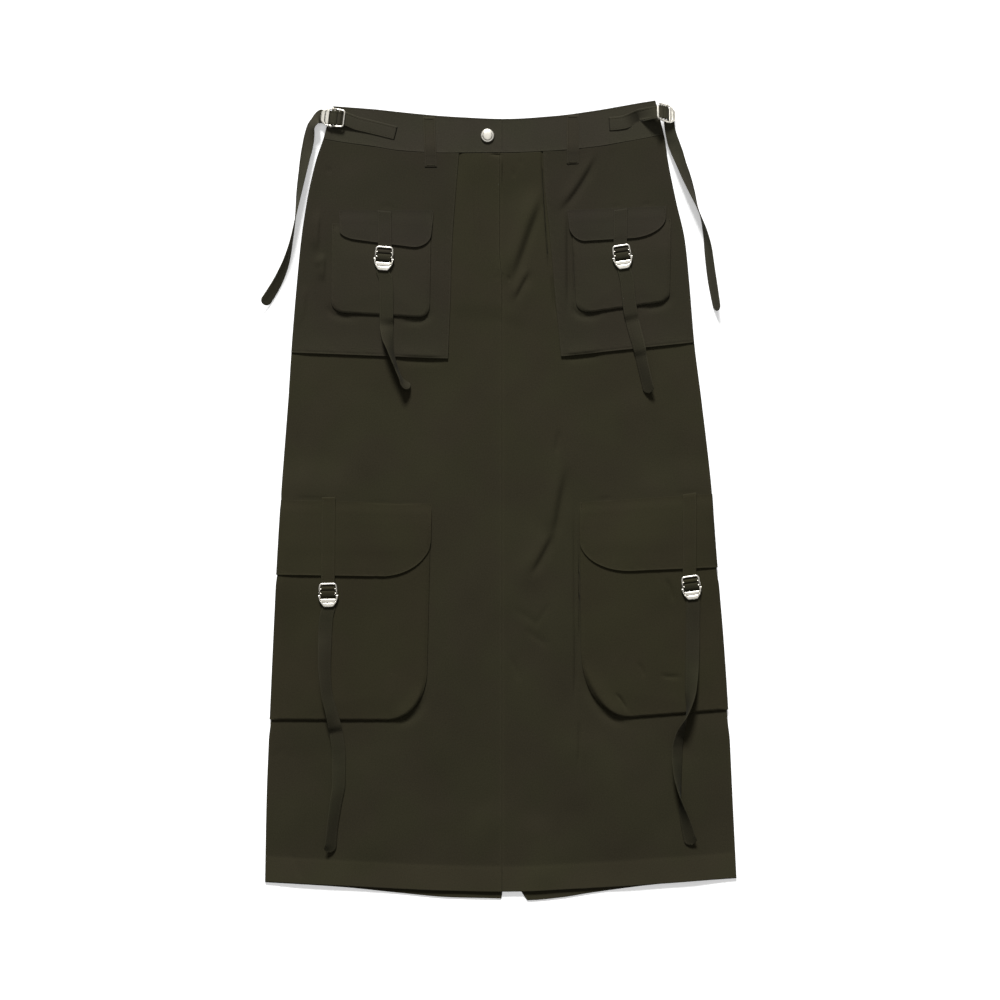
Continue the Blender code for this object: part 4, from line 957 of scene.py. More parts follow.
def puff(x, y, edges, corners, height):
    """A pocket's face: a steep rise at its sewn edges, a gentle one inside them and from its mouth."""
    inside = inside_edge(x, y, edges, corners)
    steep = 1 - (1 - np.clip(inside / EDGE_ROUND, 0, 1)) ** 2
    crowned = EDGE_SHARE * steep + (1 - EDGE_SHARE) * ease(inside / CROWN_REACH)
    return height * crowned * ease((edges["top"](x) - y) / MOUTH_RAMP)


def pocket_heights(pocket, corners, flap, ground, height):
    """Undersides of a pocket and of the flap that climbs from its seam onto the pocket."""

    def pocket_base(x, y):
        return ground(x, y) + LAYER_GAP + puff(x, y, pocket, corners, height)

    def flap_base(x, y):
        lift = FLAP_LIFT * ease((y - flap["foot"](x) - LIFT_REACH) / -LIFT_REACH)
        lift = lift * ease(side_distance(x, y) / LIFT_REACH)
        rise = POCKET_CLOTH + FLAP_GAP + puff(x, y, pocket, corners, height) + lift
        return ground(x, y) + LAYER_GAP + ease((flap["top"](x) - y) / SEAM_RAMP) * rise

    return pocket_base, flap_base


def edges_of(piece):
    """The edges of a pocket or a flap; a side that its rows leave out is the skirt's own."""
    edges = {name: straight(*line) for name, line in piece.items() if name != "corners"}
    return {"left": left_side, "right": right_side, **edges}


POCKET_LAYERS = []  # edges and underside of each pocket and flap


def sew_pocket(level, side, pieces, ground, puffed, pitch, cloths, sides, wraps, close=(0, 0, 1)):
    """Sews a pocket to its ground with a row of stitches at the named sides, and its flap over it."""
    edges = [edges_of(piece) for piece in pieces]
    corners = [[(width * MM, height * MM) for width, height in piece["corners"]] for piece in pieces]
    bases = pocket_heights(edges[0], corners[0], edges[1], ground, puffed)
    POCKET_LAYERS.extend(zip(edges, bases))
    for k, kind in enumerate(("pocket", "flap")):
        outline = [edges[k][name] for name in ("left", "right", "top", "foot")]
        x, y = lay_out(outline, pitch, corners[k], close)
        lies = lambda x, y: bases[k](x, y) + pressed(x, y)
        node, seams = f"{level}_{kind}_{side}", [(sides, (2,))]
        sew(node, x, y, lies, POCKET_CLOTH, cloths[k], seams, wraps[k], flat_top=True)


for side in ("left", "right"):
    pieces, cloths = (UPPER_POCKETS[side], UPPER_FLAPS[side]), (pocket_cloth, flap_cloth)
    patch, sides = f"upper_patch_{side}_cloth", "left foot right"
    sew_pocket("upper", side, pieces, patch_top, UPPER_PUFF, 2.2 * MM, cloths, sides, (None, None))


# Lower pockets and flaps
#
# Larger pockets that wrap round the side seams onto the back. Inside they have a wide round
# corner, and their flaps are cut to the same curve and wrap round with them.

POCKET_WRAP = 60 * MM
LOWER_PUFF = 3.0 * MM
lower_cloth = cotton("lower_pocket", (49.6, 46.8, 32.6))
LOWER_POCKETS = {
    "left": {
        "right": ((-14, -83.4), (-200, -87.8)),
        "top": ((-262, -14), (-83, -18)),
        "foot": ((-276, -262.4), (-90, -263)),
        "corners": ((0, 0), (46, 58)),
    },
    "right": {
        "left": ((-14, 96.4), (-200, 98)),
        "top": ((96, -16), (253, -8)),
        "foot": ((98, -264), (274, -250)),
        "corners": ((60, 84), (0, 0)),
    },
}
LOWER_FLAPS = {
    "left": {
        "right": ((-8, -82), (-50, -82.8)),
        "top": ((-262, 1.2), (-82, -3.4)),
        "foot": ((-266, -88.6), (-82, -91.4)),
        "corners": ((0, 0), (60, 45)),
    },
    "right": {
        "left": ((-8, 95.6), (-50, 96)),
        "top": ((96, -1.6), (253, 8.4)),
        "foot": ((96, -86.6), (262, -79.6)),
        "corners": ((62, 38), (0, 0)),
    },
}


def wrap_round(side, under_height, turn_reach):
    """Adds to a flat grid the turn round the skirt's side and the reach onto the back.

    The turn is half an ellipse about the side seam, from the front's height at the seam down to
    the height under the back, and the reach runs inwards beneath the back panel.
    """

    def wrapped(flat):
        seam = flat[:, 0] if side == "left" else flat[:, -1]
        outward = -1 if side == "left" else 1
        seam_x, seam_y, top = seam[:, :1], seam[:, 1:2], seam[:, 2:]
        under = under_height(seam_x, seam_y)
        radius, middle = (top - under) / 2, (top + under) / 2
        turn = np.linspace(0, math.pi, 15)[1:]
        arc_x = seam_x + outward * turn_reach(seam_y) * np.sin(turn)
        arc = np.stack([arc_x, seam_y + 0 * arc_x, middle + radius * np.cos(turn)], axis=-1)
        reach_x = seam_x - outward * POCKET_WRAP * shares(POCKET_WRAP, 6 * MM)[1:]
        reach_y = seam_y + 0 * reach_x
        reach = np.stack([reach_x, reach_y, under_height(reach_x, reach_y)], axis=-1)
        wrapped_part = np.concatenate([arc, reach], axis=1)
        if side == "left":
            return np.concatenate([wrapped_part[:, ::-1], flat], axis=1)
        return np.concatenate([flat, wrapped_part], axis=1)

    return wrapped


UNDER = {
    "pocket": lambda x, y: flap_lift(x, y) + POCKET_CLOTH,
    "flap": lambda x, y: 0 * x + POCKET_CLOTH,
}
TURN = 0.5 * MM
FLAP_TURN = 1.3 * MM
# How far the turn stands out from the side seam: a flap's clears its pocket below the mouth
TURN_REACH = {
    "pocket": lambda y: 0 * y + TURN,
    "flap": lambda y: TURN + FLAP_TURN * ease((2 * MM - y) / (14 * MM)),
}
for side, sides, close in (("left", "foot right", (0, 0, 1)), ("right", "left foot", (0.02, 0.4, 1.6))):
    pieces, cloths = (LOWER_POCKETS[side], LOWER_FLAPS[side]), (lower_cloth, lower_cloth)
    wraps = [wrap_round(side, UNDER[kind], TURN_REACH[kind]) for kind in ("pocket", "flap")]
    sew_pocket("lower", side, pieces, front_top, LOWER_PUFF, 2.4 * MM, cloths, sides, wraps, close)


# Belt loops
#
# Two narrow folded strips of drill from the top of the waistband to just below it, bartacked at
# both ends.

BELT_LOOP_WIDTH = 14.6 * MM
BELT_LOOPS = {"left": ((-85.4, 461), (-82.8, 400)), "right": ((87.4, 463.4), (87.4, 404))}


def within(x, y, edges, margin=1 * MM):
    inside_x = (x > edges["left"](y) - margin) & (x < edges["right"](y) + margin)
    return inside_x & (y < edges["top"](x) + margin) & (y > edges["foot"](x) - margin)


def stack_top(x, y):
    """Height of the highest cloth at a point of the front."""
    height = np.where(y > waist_seam(x), band_top(x, y), patch_top(x, y))
    for edges, base in POCKET_LAYERS:
        height = np.where(within(x, y, edges), np.maximum(height, base(x, y) + POCKET_CLOTH), height)
    return np.where(side_distance(x, y) < -3 * MM, 0, height)


STRAP_PRESS = 0.25 * MM  # a strap settles by this much


def resting_heights(x, y, width, reach=5 * MM):
    """Height at each point of a path at which a strip clears all that lies near it."""
    offsets = np.linspace(-1, 1, 7)
    across, along = np.meshgrid(offsets * width / 2, offsets * reach)
    near = stack_top(x[:, None] + across.ravel(), y[:, None] + along.ravel())
    return near.max(axis=1) + LAYER_GAP


def ribbon(middle, half, columns=13):
    """A grid of points across a strap, with its columns closer together at both edges."""
    across = -np.cos(np.linspace(0, math.pi, columns))
    return middle[:, None] + half[:, None] * across[None, :, None]


STRAP_INSET = 2.2 * MM  # a strap's stitches lie this far inside its edges
STRAP_TROUGH = 0.16 * MM  # and draw it in by this much
STRAP_TROUGH_WIDTH = 0.8 * MM


def strap_rows(points, thickness):
    """Two rows of stitches along a strap, inside its edges, on its outer face."""
    normal = normals_of(points)
    up = (normal[:, 2] + normal[:, -3]) / 2
    made = []
    for first, second in ((0, -1), (-1, 0)):
        path = points[:, first] + unit(points[:, second] - points[:, first]) * STRAP_INSET
        made.append(stitches(path + up * (thickness - 0.05 * MM), up))
    return made


def dress_strap(node, points, thickness, material, extra=()):
    """A strap as a closed shell, with its pattern along its run and a row of stitches at each edge."""
    width = np.linalg.norm(points[:, -1] - points[:, 0], axis=-1).max()
    across = run_along(points, 1)
    uv = np.stack([across, run_along(points, 0).mean(axis=1, keepdims=True) + 0 * across], axis=-1)
    off_row = np.minimum(across, width - across) - STRAP_INSET
    relief = -STRAP_TROUGH * np.exp(-((off_row / STRAP_TROUGH_WIDTH) ** 2))
    rows = [*strap_rows(points, thickness), *extra]
    dress_piece(node, points, thickness, material, relief, uv, rows)


def bartack(x, y, half_length, height, rise):
    """A dense bar of stitches across a belt loop."""
    share = np.linspace(-1, 1, 6)
    points, up = on_top(x + half_length * share, y + 0 * share, height, rise)
    return stitches(points, up, pitch=0.6 * MM, length=1.9 * MM, radius=0.3 * MM, turned=True)


# The loop is painted paler where it lies on the waistband and darker below the waist seam: painted light
# and shade.
loop_cloth = cotton("belt_loop", (56, 53, 42), paler=0.2, middle=424 * MM, reach=6 * MM)
for side, (top, foot) in BELT_LOOPS.items():
    down = np.linspace(0, 1, 42)
    x, y = (top[0] + (foot[0] - top[0]) * down) * MM, (top[1] + (foot[1] - top[1]) * down) * MM
    z = resting_heights(x, y, BELT_LOOP_WIDTH, 3 * MM) - 1.3 * STRAP_PRESS
    points = ribbon(np.stack([x, y, z], axis=-1), np.array([[BELT_LOOP_WIDTH / 2, 0, 0]] * len(x)))
    on_loop = lambda px, py: np.interp(-py, -y, z)
    tacks = [bartack(x[k], y[k], 5 * MM, on_loop, 0.5 * POCKET_CLOTH) for k in (2, -3)]
    dress_strap(f"belt_loop_{side}", points, 0.5 * POCKET_CLOTH, loop_cloth, tacks)


# Buckles
#
# Six small flat buckles of bright metal: a bent rod with two cross bars, and a bevelled lever
# plate that hinges at the ends of the rod on two knobs. All are closed.

# In a buckle's own frame X runs across it, Y up its strap from near the hinge, and Z off the cloth
# from the rod's middle
ROD_RADIUS = 1.2 * MM
BAR_RADIUS = 0.9 * MM
FRAME_TOP = 13.4 * MM
FRAME_FOOT = 0.5 * MM
TOP_HALF_WIDTH = 9.8 * MM
FOOT_HALF_WIDTH = 10.4 * MM
FRAME_CORNER = 3.0 * MM
FLAP_BAR_AT = 7.2 * MM
TAIL_BAR_AT = 1.8 * MM
HINGE_AT = -1.1 * MM
LEVER_THICKNESS = 1.8 * MM
KNOB_RADIUS = 1.3 * MM
KNOB_LENGTH = 2.2 * MM
KNOB_AT = 11.0 * MM
WEBBING = 1.0 * MM
STRAP_WIDTH = 16.4 * MM
STRAP_DEPTH = ROD_RADIUS + GAP + WEBBING
HALF_BUCKLE = 13 * MM
STRAP_BEND = 8 * MM  # a strap keeps the buckle's slope this far beyond it
# Each one's place in millimetres and how it is turned in degrees; on the flaps its height and its
# slope follow from the cloth
BUCKLES = {
    "upper_left": {"at": (-139.2, 290.6), "turn": -4.5},
    "upper_right": {"at": (146.6, 292.6), "turn": 8.5},
    "lower_left": {"at": (-205.8, -112.6), "turn": 1},
    "lower_right": {"at": (229.2, -103.6), "turn": 8},
}
SIDE_BUCKLES = {
    "side_left": {"at": (-200.4, 459.8, 8.6), "turn": -97, "dip": 6, "roll": 0},
    "side_right": {"at": (199.0, 464.4, 12.8), "turn": 90, "dip": 40, "roll": -14},
}

places = {}
# A buckle on a flap slopes as the cloth does from its one end to the other, and clears all between
for name, buckle in BUCKLES.items():
    x, y = (value * MM for value in buckle["at"])
    turn = math.radians(buckle["turn"])
    along = np.array([-math.sin(turn), math.cos(turn)])
    steps = np.linspace(-HALF_BUCKLE, HALF_BUCKLE + STRAP_BEND, 11)
    need = resting_heights(x + along[0] * steps, y + along[1] * steps, 20 * MM, reach=2 * MM)
    slope = (need[-1] - need[0]) / (steps[-1] - steps[0])
    level = (need - slope * steps).max()
    place = Matrix.Translation((x, y, level + STRAP_DEPTH)) @ Matrix.Rotation(turn, 4, "Z")
    places[name] = np.array(place @ Matrix.Rotation(math.atan(slope), 4, "X"))
for name, buckle in SIDE_BUCKLES.items():
    place = Matrix.Translation([value * MM for value in buckle["at"]])
    for angle, axis in (("roll", "X"), ("turn", "Z"), ("dip", "X")):
        place = place @ Matrix.Rotation(math.radians(buckle[angle]), 4, axis)
    places[name] = np.array(place)


def bright_metal(name):
    """Polished plate: fine brushed streaks and a few soft stains."""
    material, tree, surface = new_finish(name, {"Metallic": 1.0})
    place = add_node(tree, "ShaderNodeTexCoord").outputs["Object"]
    stains = noise(tree, place, 160.0, 3.0)
    colour = add_node(tree, "ShaderNodeValToRGB", {"Fac": stains})
    dull, bright = colour.color_ramp.elements
    dull.position, bright.position = 0.3, 0.7
    dull.color = (0.74, 0.71, 0.62, 1)
    bright.color = (0.92, 0.88, 0.79, 1)
    tree.links.new(colour.outputs["Color"], surface["Base Color"])
    rough = add_node(tree, "ShaderNodeMapRange", {"Value": stains, "To Min": 0.34, "To Max": 0.48})
    tree.links.new(rough.outputs["Result"], surface["Roughness"])
    streaks = {"Strength": 0.12, "Distance": 0.02 * MM, "Height": noise(tree, place, 1400.0, 1.0)}
    bump = add_node(tree, "ShaderNodeBump", streaks)
    tree.links.new(bump.outputs["Normal"], surface["Normal"])
    return material


nickel = bright_metal("nickel")


def skin(rings, first_pole, last_pole):
    """Vertices and faces of a closed skin through rings of points, with a pole at each end."""
    index = np.arange(rings[..., 0].size).reshape(rings.shape[:2])
    beside = np.roll(index, -1, axis=1)
    quads = np.stack([index[:-1], beside[:-1], beside[1:], index[1:]], axis=-1).reshape(-1, 4)
    sides = range(rings.shape[1])
    caps = [[beside[0, k], index[0, k], index.size] for k in sides]
    caps += [[index[-1, k], beside[-1, k], index.size + 1] for k in sides]
    return np.concatenate([rings.reshape(-1, 3), [first_pole, last_pole]]), quads.tolist() + caps


def tube(path, radii, sides=16):
    """A round profile carried along a path, closed by a pole at each end.

    The profile's two directions are square to the path's run, one of them as near as can be to
    the buckle's Z.
    """
    run = unit(np.gradient(path, axis=0))
    aside = unit(np.cross(run, [0, 0, 1]))
    up = np.cross(aside, run)
    angle = np.linspace(0, 2 * math.pi, sides, endpoint=False)[None, :, None]
    off = aside[:, None] * np.cos(angle) + up[:, None] * np.sin(angle)
    return skin(path[:, None] + off * radii[:, None, None], path[0], path[-1])


def bar(half_length, at, radius, rounding, middle=0):
    """A straight bar across the buckle with rounded ends: there its radius follows a quarter circle."""
    turn = np.linspace(0, math.pi / 2, 5)
    near = np.concatenate([rounding * (1 - np.cos(turn)), [half_length]])
    radii = np.concatenate([radius - rounding + rounding * np.sin(turn), [radius]])
    x = np.concatenate([near, 2 * half_length - near[-2::-1]]) - half_length + middle
    path = np.stack([x, 0 * x + at, 0 * x], axis=-1)
    return tube(path, np.concatenate([radii, radii[-2::-1]]))


def joined(parts):
    """Several parts' vertices and faces as one mesh's."""
    count, vertices, faces = 0, [], []
    for points, polygons in parts:
        vertices.append(points)
        faces += [[index + count for index in polygon] for polygon in polygons]
        count += len(points)
    return np.concatenate(vertices), faces


shoulder = np.linspace(0, math.pi / 2, 9)
shoulder_x = TOP_HALF_WIDTH - FRAME_CORNER + FRAME_CORNER * np.cos(shoulder)
shoulder_y = FRAME_TOP - FRAME_CORNER + FRAME_CORNER * np.sin(shoulder)
bow_x = np.concatenate([[FOOT_HALF_WIDTH, (FOOT_HALF_WIDTH + TOP_HALF_WIDTH) / 2], shoulder_x])
bow_y = np.concatenate([[FRAME_FOOT, (FRAME_FOOT + FRAME_TOP - FRAME_CORNER) / 2], shoulder_y])
bow = np.stack([[*bow_x, *-bow_x[::-1]], [*bow_y, *bow_y[::-1]], np.zeros(2 * len(bow_x))], axis=-1)
frame_parts = [tube(bow, np.full(len(bow), ROD_RADIUS))]
for at in (FLAP_BAR_AT, TAIL_BAR_AT):
    frame_parts.append(bar(TOP_HALF_WIDTH, at, BAR_RADIUS, 0.3 * MM))

# The lever's plate in front and its arms up to the hinge; columns close together at the arms' edges
LEVER_FOOT = table(
    "x y",
    (0, -14.6), (4.0, -14.6), (5.6, -14.2), (6.8, -13.0), (10.6, -6.8), (11.2, -4.4), (11.4, -1.4),
)
LEVER_COLUMNS = (
    *(0, 1.5, 3, 4.2, 5.4, 6.4, 7.4, 8.2, 8.8),
    *(9.04, 9.16, 9.3, 9.8, 10.4, 10.9, 11.2, 11.36, 11.4),
)
PLATE_TOP = -4.6 * MM
ARM_TOP = 0.2 * MM
ARM_INSIDE = 9.1 * MM
lever_foot = line_through(LEVER_FOOT, "y", "x")
columns = np.array(LEVER_COLUMNS) * MM
lever_x = np.concatenate([-columns[:0:-1], columns])[None, :]
plate_top = np.where(np.abs(lever_x) > ARM_INSIDE, ARM_TOP, PLATE_TOP)
lever_y = plate_top + (lever_foot(np.abs(lever_x)) - plate_top) * shares(10 * MM, 0.8 * MM)[:, None]
lever_grid = np.stack([lever_x + 0 * lever_y, lever_y, 0 * lever_y], axis=-1)
lever_parts = [closed_shell(lever_grid, LEVER_THICKNESS)]
for middle in (-KNOB_AT, KNOB_AT):
    lever_parts.append(bar(KNOB_LENGTH / 2, HINGE_AT, KNOB_RADIUS, 0.5 * MM, middle))

for name, place in places.items():
    for piece, parts in (("frame", frame_parts), ("lever", lever_parts)):
        vertices, faces = joined(parts)
        vertices = vertices @ place[:3, :3].T + place[:3, 3]
        part = add_piece(f"{name}_buckle_{piece}_metal", vertices, faces, nickel)
        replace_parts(part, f"{name}_buckle_{piece}")


# Straps on the flaps and the waistband
#
# Folded straps of drill with a row of stitches along each edge. Each is caught in the seam above
# its flap, or boxed onto the waistband, and loops over its buckle's upper bar.

FLAP_STRAP_TOPS = {
    "upper_left": (-138.6, 348),
    "upper_right": (144.6, 350),
    "lower_left": (-205.6, 4.8),
    "lower_right": (227.6, 9.4),
}
ADJUSTERS = {
    "side_left": table("x y z", (-124.8, 441.4, 0), (-140, 445.2, 0), (-156, 449.2, 0), (-172, 453, 0.6)),
    "side_right": table(
        "x y z",
        (130.8, 452.4, 0), (140, 453, 0), (149, 454.4, 0), (158, 458, 0.3), (167, 462.6, 1.6),
    ),
}

# Middle lines in a buckle: a strap loops over the upper bar, a tail over the lower one
STRAP_LOOP = table(
    "along height",
    (16.6, -2.5), (12.2, -2.5), (10.6, -1.9), (9.8, -0.4), (9.1, 0.9), (8.2, 1.2), (7.2, 1.25),
    (6.5, 0.95), (6.1, 0.2), (6.0, -1.6),
)
TAIL_LOOP = table(
    "along height",
    (4.7, -1.6), (4.6, 0.1), (4.1, 0.9), (3.2, 1.2), (1.8, 1.25), (0.4, 1.2), (-1.0, 1.0),
    (-2.0, 0.5), (-2.6, -0.4), (-2.9, -1.4), (-3.6, -2.2), (-5.5, -2.5), (-9.0, -2.5),
    (-15.5, -2.5),
)
# On the right the waistband's strap climbs to its buckle, and its tail turns down beneath the lever
STEEP_STRAP_LOOP = table("along height", (13.0, -9.0), (11.2, -4.4)) + STRAP_LOOP[3:]
TURNED_UNDER_LEVER = TAIL_LOOP[:-2]


def in_buckle(place, loop):
    """A loop's points in the world."""
    local = np.array([(0, point["along"], point["height"]) for point in loop])
    return local @ place[:3, :3].T + place[:3, 3]


def half_widths(middle, widths, raised, width=STRAP_WIDTH):
    """Half of a strap's width as a vector at each point of its middle line, and how far to lift it.

    `widths` are the widths seen from above, negative once the strap has turned over; the rest
    of its real width stands up, on the left-hand side of its run where `raised` is 1.
    """
    run = np.gradient(middle, axis=0)
    run[:, 2] = 0
    across = np.cross([0, 0, 1], unit(run))
    level = np.clip(widths / width, -1, 1)
    rise = raised * np.sqrt(1 - level**2)
    half = (across * level[:, None] + np.array([0, 0, 1]) * rise[:, None]) * width / 2
    return half, np.abs(half[:, 2]) + WEBBING * np.clip(-level, 0, 1)


STRAP_STEP = 1.6 * MM  # from one row of a strap's points to the next


def closer(points, step):
    """A path with points at even steps along its run."""
    length = along_run(points, [0])[1]
    return along_run(points, np.linspace(0, length, max(2, round(length / step) + 1)))[0]


for name, (top_x, top_y) in FLAP_STRAP_TOPS.items():
    place = places[name]
    inside = in_buckle(place, STRAP_LOOP)
    start = np.array([top_x * MM, top_y * MM, 0])
    on_flap = start + (inside[0] - start) * np.linspace(0, 1, 22)[:-1, None]
    x, y = on_flap[:, 0], on_flap[:, 1]
    on_flap[:, 2] = resting_heights(x, y, STRAP_WIDTH, reach=4 * MM) - STRAP_PRESS + pressed(x, y)
    across = place[:3, 0] * STRAP_WIDTH / 2
    path = closer(np.hstack([on_flap, [across * [1, 1, 0]] * len(on_flap)]), STRAP_STEP)
    middle = np.concatenate([path[:, :3], inside])
    half = np.concatenate([path[:, 3:], [across] * len(inside)])
    cloth, buckle = flap_cloth if name.startswith("upper") else lower_cloth, f"{name}_buckle_frame_metal"
    dress_strap(f"{name}_strap", ribbon(middle, half), 0.6 * WEBBING, cloth)

for name, route in ADJUSTERS.items():
    place = places[name]
    inside = in_buckle(place, STEEP_STRAP_LOOP if name == "side_right" else STRAP_LOOP)
    x, y, z = (np.array([row[column] for row in route]) for column in ("x", "y", "z"))
    z = z + resting_heights(x, y, STRAP_WIDTH) - STRAP_PRESS
    middle = np.concatenate([closer(np.stack([x, y, z], axis=-1), STRAP_STEP), inside])
    # The right one leans onto its lower edge on its way to the buckle
    lean = 2.4 * MM * ease((middle[:, 0] - 150 * MM) / (26 * MM))
    half = half_widths(middle, STRAP_WIDTH - lean, 1)[0]
    half[-len(inside) :] = place[:3, 0] * STRAP_WIDTH / 2
    buckle = f"{name}_buckle_frame_metal"
    dress_strap(f"{name}_adjuster", ribbon(middle, half), 0.8 * WEBBING, band_cloth)


# Strap tails
#
# The long free ends of the same straps, which pass over their buckles' lower bars, lie down the
# pockets and the front, and turn onto their edges where they curl.

# The side tails are painted lighter than the cloth, and darker towards their buckles and lighter towards
# their tips: painted light and shade that evens out how their tilted faces catch the light.
tail_cloths = {
    "upper": cotton("upper_tail", (52, 50, 38)),
    "lower": cotton("lower_tail", (48, 46, 34)),
    "side_left": cotton("left_tail", (70, 68, 54), paler=-0.45, middle=340 * MM, reach=40 * MM),
    "side_right": cotton("right_tail", (63, 61, 49), paler=-0.35, middle=350 * MM, reach=50 * MM),
}
TIP = 6.5 * MM  # length of a tail's rounded tip
TIP_WIDTH = 0.12  # share of its width that it keeps at the very end
TAIL_STEP = 9 * MM  # a tail's height is taken from the cloth below it this often
# Each tail's middle line and the width that is seen, below 0 where the strap has turned over
ROUTES = {
    "upper_left": table(
        "x y width",
        (-136.4, 262, 16.4), (-136.2, 240, 16.4), (-136.2, 216, 16.4), (-135.6, 199, 14),
        (-131.4, 180, 7), (-126, 163, 4), (-120, 148, 3), (-114.6, 139.4, 9), (-108.6, 135.4, 12.6),
    ),
    "upper_right": table(
        "x y width",
        (152.4, 262, 16.4), (154.4, 242, 16.4), (157.4, 222, 16.4), (162.4, 202, 16),
        (167.6, 182, 14.4), (171.8, 162, 13), (176, 144, 12.6), (179.4, 129.6, 13.8),
    ),
    "lower_left": table(
        "x y width",
        (-207.4, -134, 16.4), (-209.6, -160, 16.4), (-210.4, -194, 15.2), (-207.8, -230, 13.4),
        (-202.4, -252, 14), (-197.2, -276, 16.2), (-193.4, -306, 16.2), (-193.4, -336, 15.6),
        (-197.4, -364, 14), (-201.6, -394, 13), (-203.6, -414, 13.6), (-205.6, -421, 15),
    ),
    "lower_right": table(
        "x y width",
        (231.4, -128, 16.4), (231.2, -160, 16.4), (230.4, -194, 16.2), (228.8, -226, 13),
        (226.6, -246, 5), (222.4, -262, -2), (216, -280, -11), (212.4, -300, -13),
        (212.8, -324, -10.6), (215.6, -348, -4), (218.4, -366, 5), (223, -386, 12),
        (229.8, -412, 16),
    ),
    "side_left": table(
        "x y width z",
        (-219.4, 457, 12, 3.4), (-225.2, 452.4, 9.6, 2.0), (-227.4, 444, 11.6, 0.9),
        (-229, 435, 13.4, 0.3), (-230.6, 426, 14, 0.2), (-233.4, 412, 12.6, 0.1),
        (-236.8, 392.4, 10, 0.1), (-240.2, 372, 7.4, 0.1), (-242.8, 354, 3.9, 0.1),
        (-245.2, 337, 1, 0.1), (-250.4, 308.4, -2.6, 0.1), (-255.5, 288.6, -6.5, 0.1),
        (-264.4, 266.8, -10, 0.1), (-276.4, 246, -11.8, 0.1), (-283.6, 235.6, -12, 0.1),
    ),
    "side_right": table(
        "x y width z",
        (202.8, 453, 13, 0.8), (204, 444.5, 13.4, 0.3), (206.2, 436, 14.4, 0.2),
        (209, 427.4, 15.2, 0.1), (212.4, 418.3, 15, 0.1), (217, 405.2, 13, 0.1),
        (222, 392.2, 12, 0.1), (226.8, 379.2, 9.8, 0.1), (231.4, 366, 6.4, 0.1),
        (235.8, 353, 2.4, 0.1), (240.6, 340, 0.6, 0.1), (244.4, 327, -3, 0.1),
        (247.4, 313.8, -5.8, 0.1), (249.4, 300.8, -8.4, 0.1), (251.6, 283, -9.2, 0.1),
        (254, 266, -9.6, 0.1), (258, 242, -8.4, 0.1), (260.4, 228, -7, 0.1),
    ),
}
# The edge that stands up: 1 on the left of the run, -1 on the right
RAISED = {
    "upper_left": -1, "upper_right": 1, "lower_left": -1,
    "lower_right": 1, "side_left": 1, "side_right": -1,
}

for name, route in ROUTES.items():
    place = places[name]
    inside = in_buckle(place, TURNED_UNDER_LEVER if name == "side_right" else TAIL_LOOP)
    rows = [{"x": inside[-1, 0], "y": inside[-1, 1], "z": inside[-1, 2], "width": STRAP_WIDTH, "at": 0.0}]
    for row in route:
        step = math.hypot(row["x"] - rows[-1]["x"], row["y"] - rows[-1]["y"])
        rows.append(dict(row, at=rows[-1]["at"] + step))
    coarse = np.linspace(0, rows[-1]["at"], round(rows[-1]["at"] / TAIL_STEP) + 1)
    x, y, widths = (line_through(rows, column, "at")(coarse) for column in ("x", "y", "width"))
    if name.startswith("side"):
        z = line_through(rows, "z", "at")(coarse)
    else:
        z = resting_heights(x, y, STRAP_WIDTH, TAIL_STEP)
    route = np.stack([x, y, z], axis=-1)[1:]
    middle = np.concatenate([inside, route])
    widths = np.concatenate([np.full(len(inside), STRAP_WIDTH), widths[1:]])
    half, lift = half_widths(middle, widths, RAISED[name])
    half[: len(inside)] = place[:3, 0] * STRAP_WIDTH / 2
    lift[: len(inside)] = 0
    middle[:, 2] += lift
    both = np.hstack([middle, half])
    steps = run_along(middle, 0)
    columns = [dict(zip(("at", *range(6)), (at, *row))) for at, row in zip(steps, both)]
    even = np.arange(steps[len(inside) - 1], steps[-1] - TIP, STRAP_STEP)
    tip = steps[-1] - TIP * (1 - np.sin(np.linspace(0, math.pi / 2, 12)))
    fine = np.unique(np.concatenate([steps[: len(inside)], even, tip]))
    smooth = np.stack([line_through(columns, k, "at")(fine) for k in range(6)], axis=-1)
    left_over = np.clip((fine[-1] - fine) / TIP, 0, 1)
    rounding = np.sqrt(1 - (1 - left_over) ** 2).clip(TIP_WIDTH)
    smooth[:, 3:] = unit(smooth[:, 3:]) * rounding[:, None] * STRAP_WIDTH / 2
    points = ribbon(smooth[:, :3], smooth[:, 3:])
    tail_cloth = tail_cloths.get(name) or tail_cloths[name.split("_")[0]]
    dress_strap(f"{name}_tail", points, WEBBING, tail_cloth)


# Button
#
# A plain metal tack button with a low dome, set through the left end of the waistband.

BUTTON_AT = (-15.0 * MM, 438.0 * MM)
BUTTON_RADIUS = 8.2 * MM
BUTTON_PROFILE = table(
    "radius height",
    (0.4, 3.1), (2.0, 3.1), (4.4, 2.95), (5.6, 2.7), (6.0, 2.35), (6.3, 2.2), (6.7, 2.25),
    (7.3, 2.15), (7.9, 1.75), (8.2, 1.1), (8.1, 0.5), (7.6, 0.1), (0.4, 0.1),
)
reach = np.linspace(-1, 1, 9)[:, None] * BUTTON_RADIUS
button_foot = band_top(BUTTON_AT[0] + reach, BUTTON_AT[1] + reach.T).max() + GAP
turn = np.linspace(0, 2 * math.pi, 48, endpoint=False)
radius = np.array([row["radius"] for row in BUTTON_PROFILE])[:, None]
height = np.array([row["height"] for row in BUTTON_PROFILE])[:, None]
x, y = BUTTON_AT[0] + radius * np.cos(turn), BUTTON_AT[1] + radius * np.sin(turn)
rings = np.stack([x, y, button_foot + height + 0 * turn], axis=-1)
foot_pole, top_pole = ((*BUTTON_AT, button_foot + float(end)) for end in (height[-1, 0], height[0, 0]))
vertices, faces = skin(rings[::-1], foot_pole, top_pole)
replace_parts(add_piece("button_metal", vertices, faces, nickel), "button")


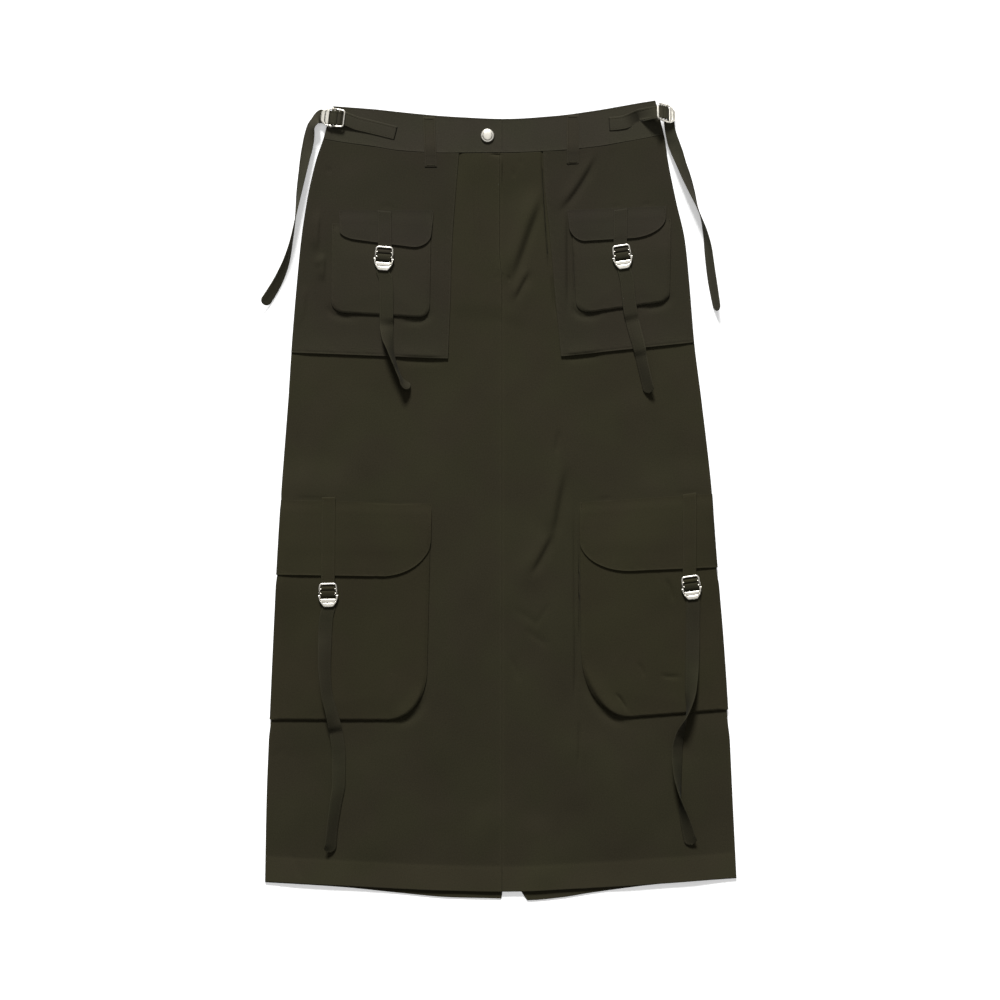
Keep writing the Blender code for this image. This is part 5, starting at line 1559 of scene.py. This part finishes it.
# Table, light and camera
#
# A plain white table top, one soft light from beyond the waist, a third of the way up and a little
# to the left, and a white sky, brightest overhead. The camera looks straight down, 1.2 mm a pixel.

TABLE = 40  # half of its side, in metres
TABLE_GLOW = 0.38  # the photo's ground is white, so the table gives off some light
TABLE_AT = -0.5 * MM
corners = [(x * TABLE, y * TABLE, TABLE_AT) for x, y in ((-1, -1), (1, -1), (1, 1), (-1, 1))]
table_mesh = bpy.data.meshes.new("table_top")
table_mesh.from_pydata(corners, [], [(0, 1, 2, 3)])
paint = {"Base Color": (0.9, 0.9, 0.9, 1), "Roughness": 0.9}
paint.update({"Emission Color": (1, 1, 1, 1), "Emission Strength": TABLE_GLOW})
table_mesh.materials.append(new_finish("table_white", paint)[0])
table_top = bpy.data.objects.new("table_top", table_mesh)
bpy.context.scene.collection.objects.link(table_top)

world = bpy.data.worlds.new("studio")
world.use_nodes = True
sky = world.node_tree
towards = add_node(sky, "ShaderNodeTexCoord").outputs["Generated"]
upwards = add_node(sky, "ShaderNodeSeparateXYZ", {0: towards}).outputs["Z"]
overhead = add_node(sky, "ShaderNodeMath", {0: upwards, 1: 10.0}, operation="POWER").outputs[0]
strength = add_node(sky, "ShaderNodeMapRange", {"Value": overhead, "To Min": 0.07, "To Max": 1.25})
sky.links.new(strength.outputs["Result"], sky.nodes["Background"].inputs["Strength"])
sky.nodes["Background"].inputs["Color"].default_value = (1, 1, 1, 1)
bpy.context.scene.world = world

lamp = bpy.data.lights.new("softbox", "SUN")
lamp.angle = math.radians(13)
lamp.energy = 5.0
softbox = bpy.data.objects.new("softbox", lamp)
softbox.location = (-0.5, 5.0, 3.3)
softbox.rotation_euler = Vector(softbox.location).to_track_quat("Z", "Y").to_euler()
bpy.context.scene.collection.objects.link(softbox)

lens = bpy.data.cameras.new("camera")
lens.lens = 120
lens.sensor_width = 36
lens.clip_start = 0.01
camera = bpy.data.objects.new("camera", lens)
camera.location = (0, 0.0012, 4.005)
bpy.context.scene.collection.objects.link(camera)
bpy.context.scene.camera = camera
bpy.context.scene.view_settings.view_transform = "Standard"

bpy.context.view_layer.update()
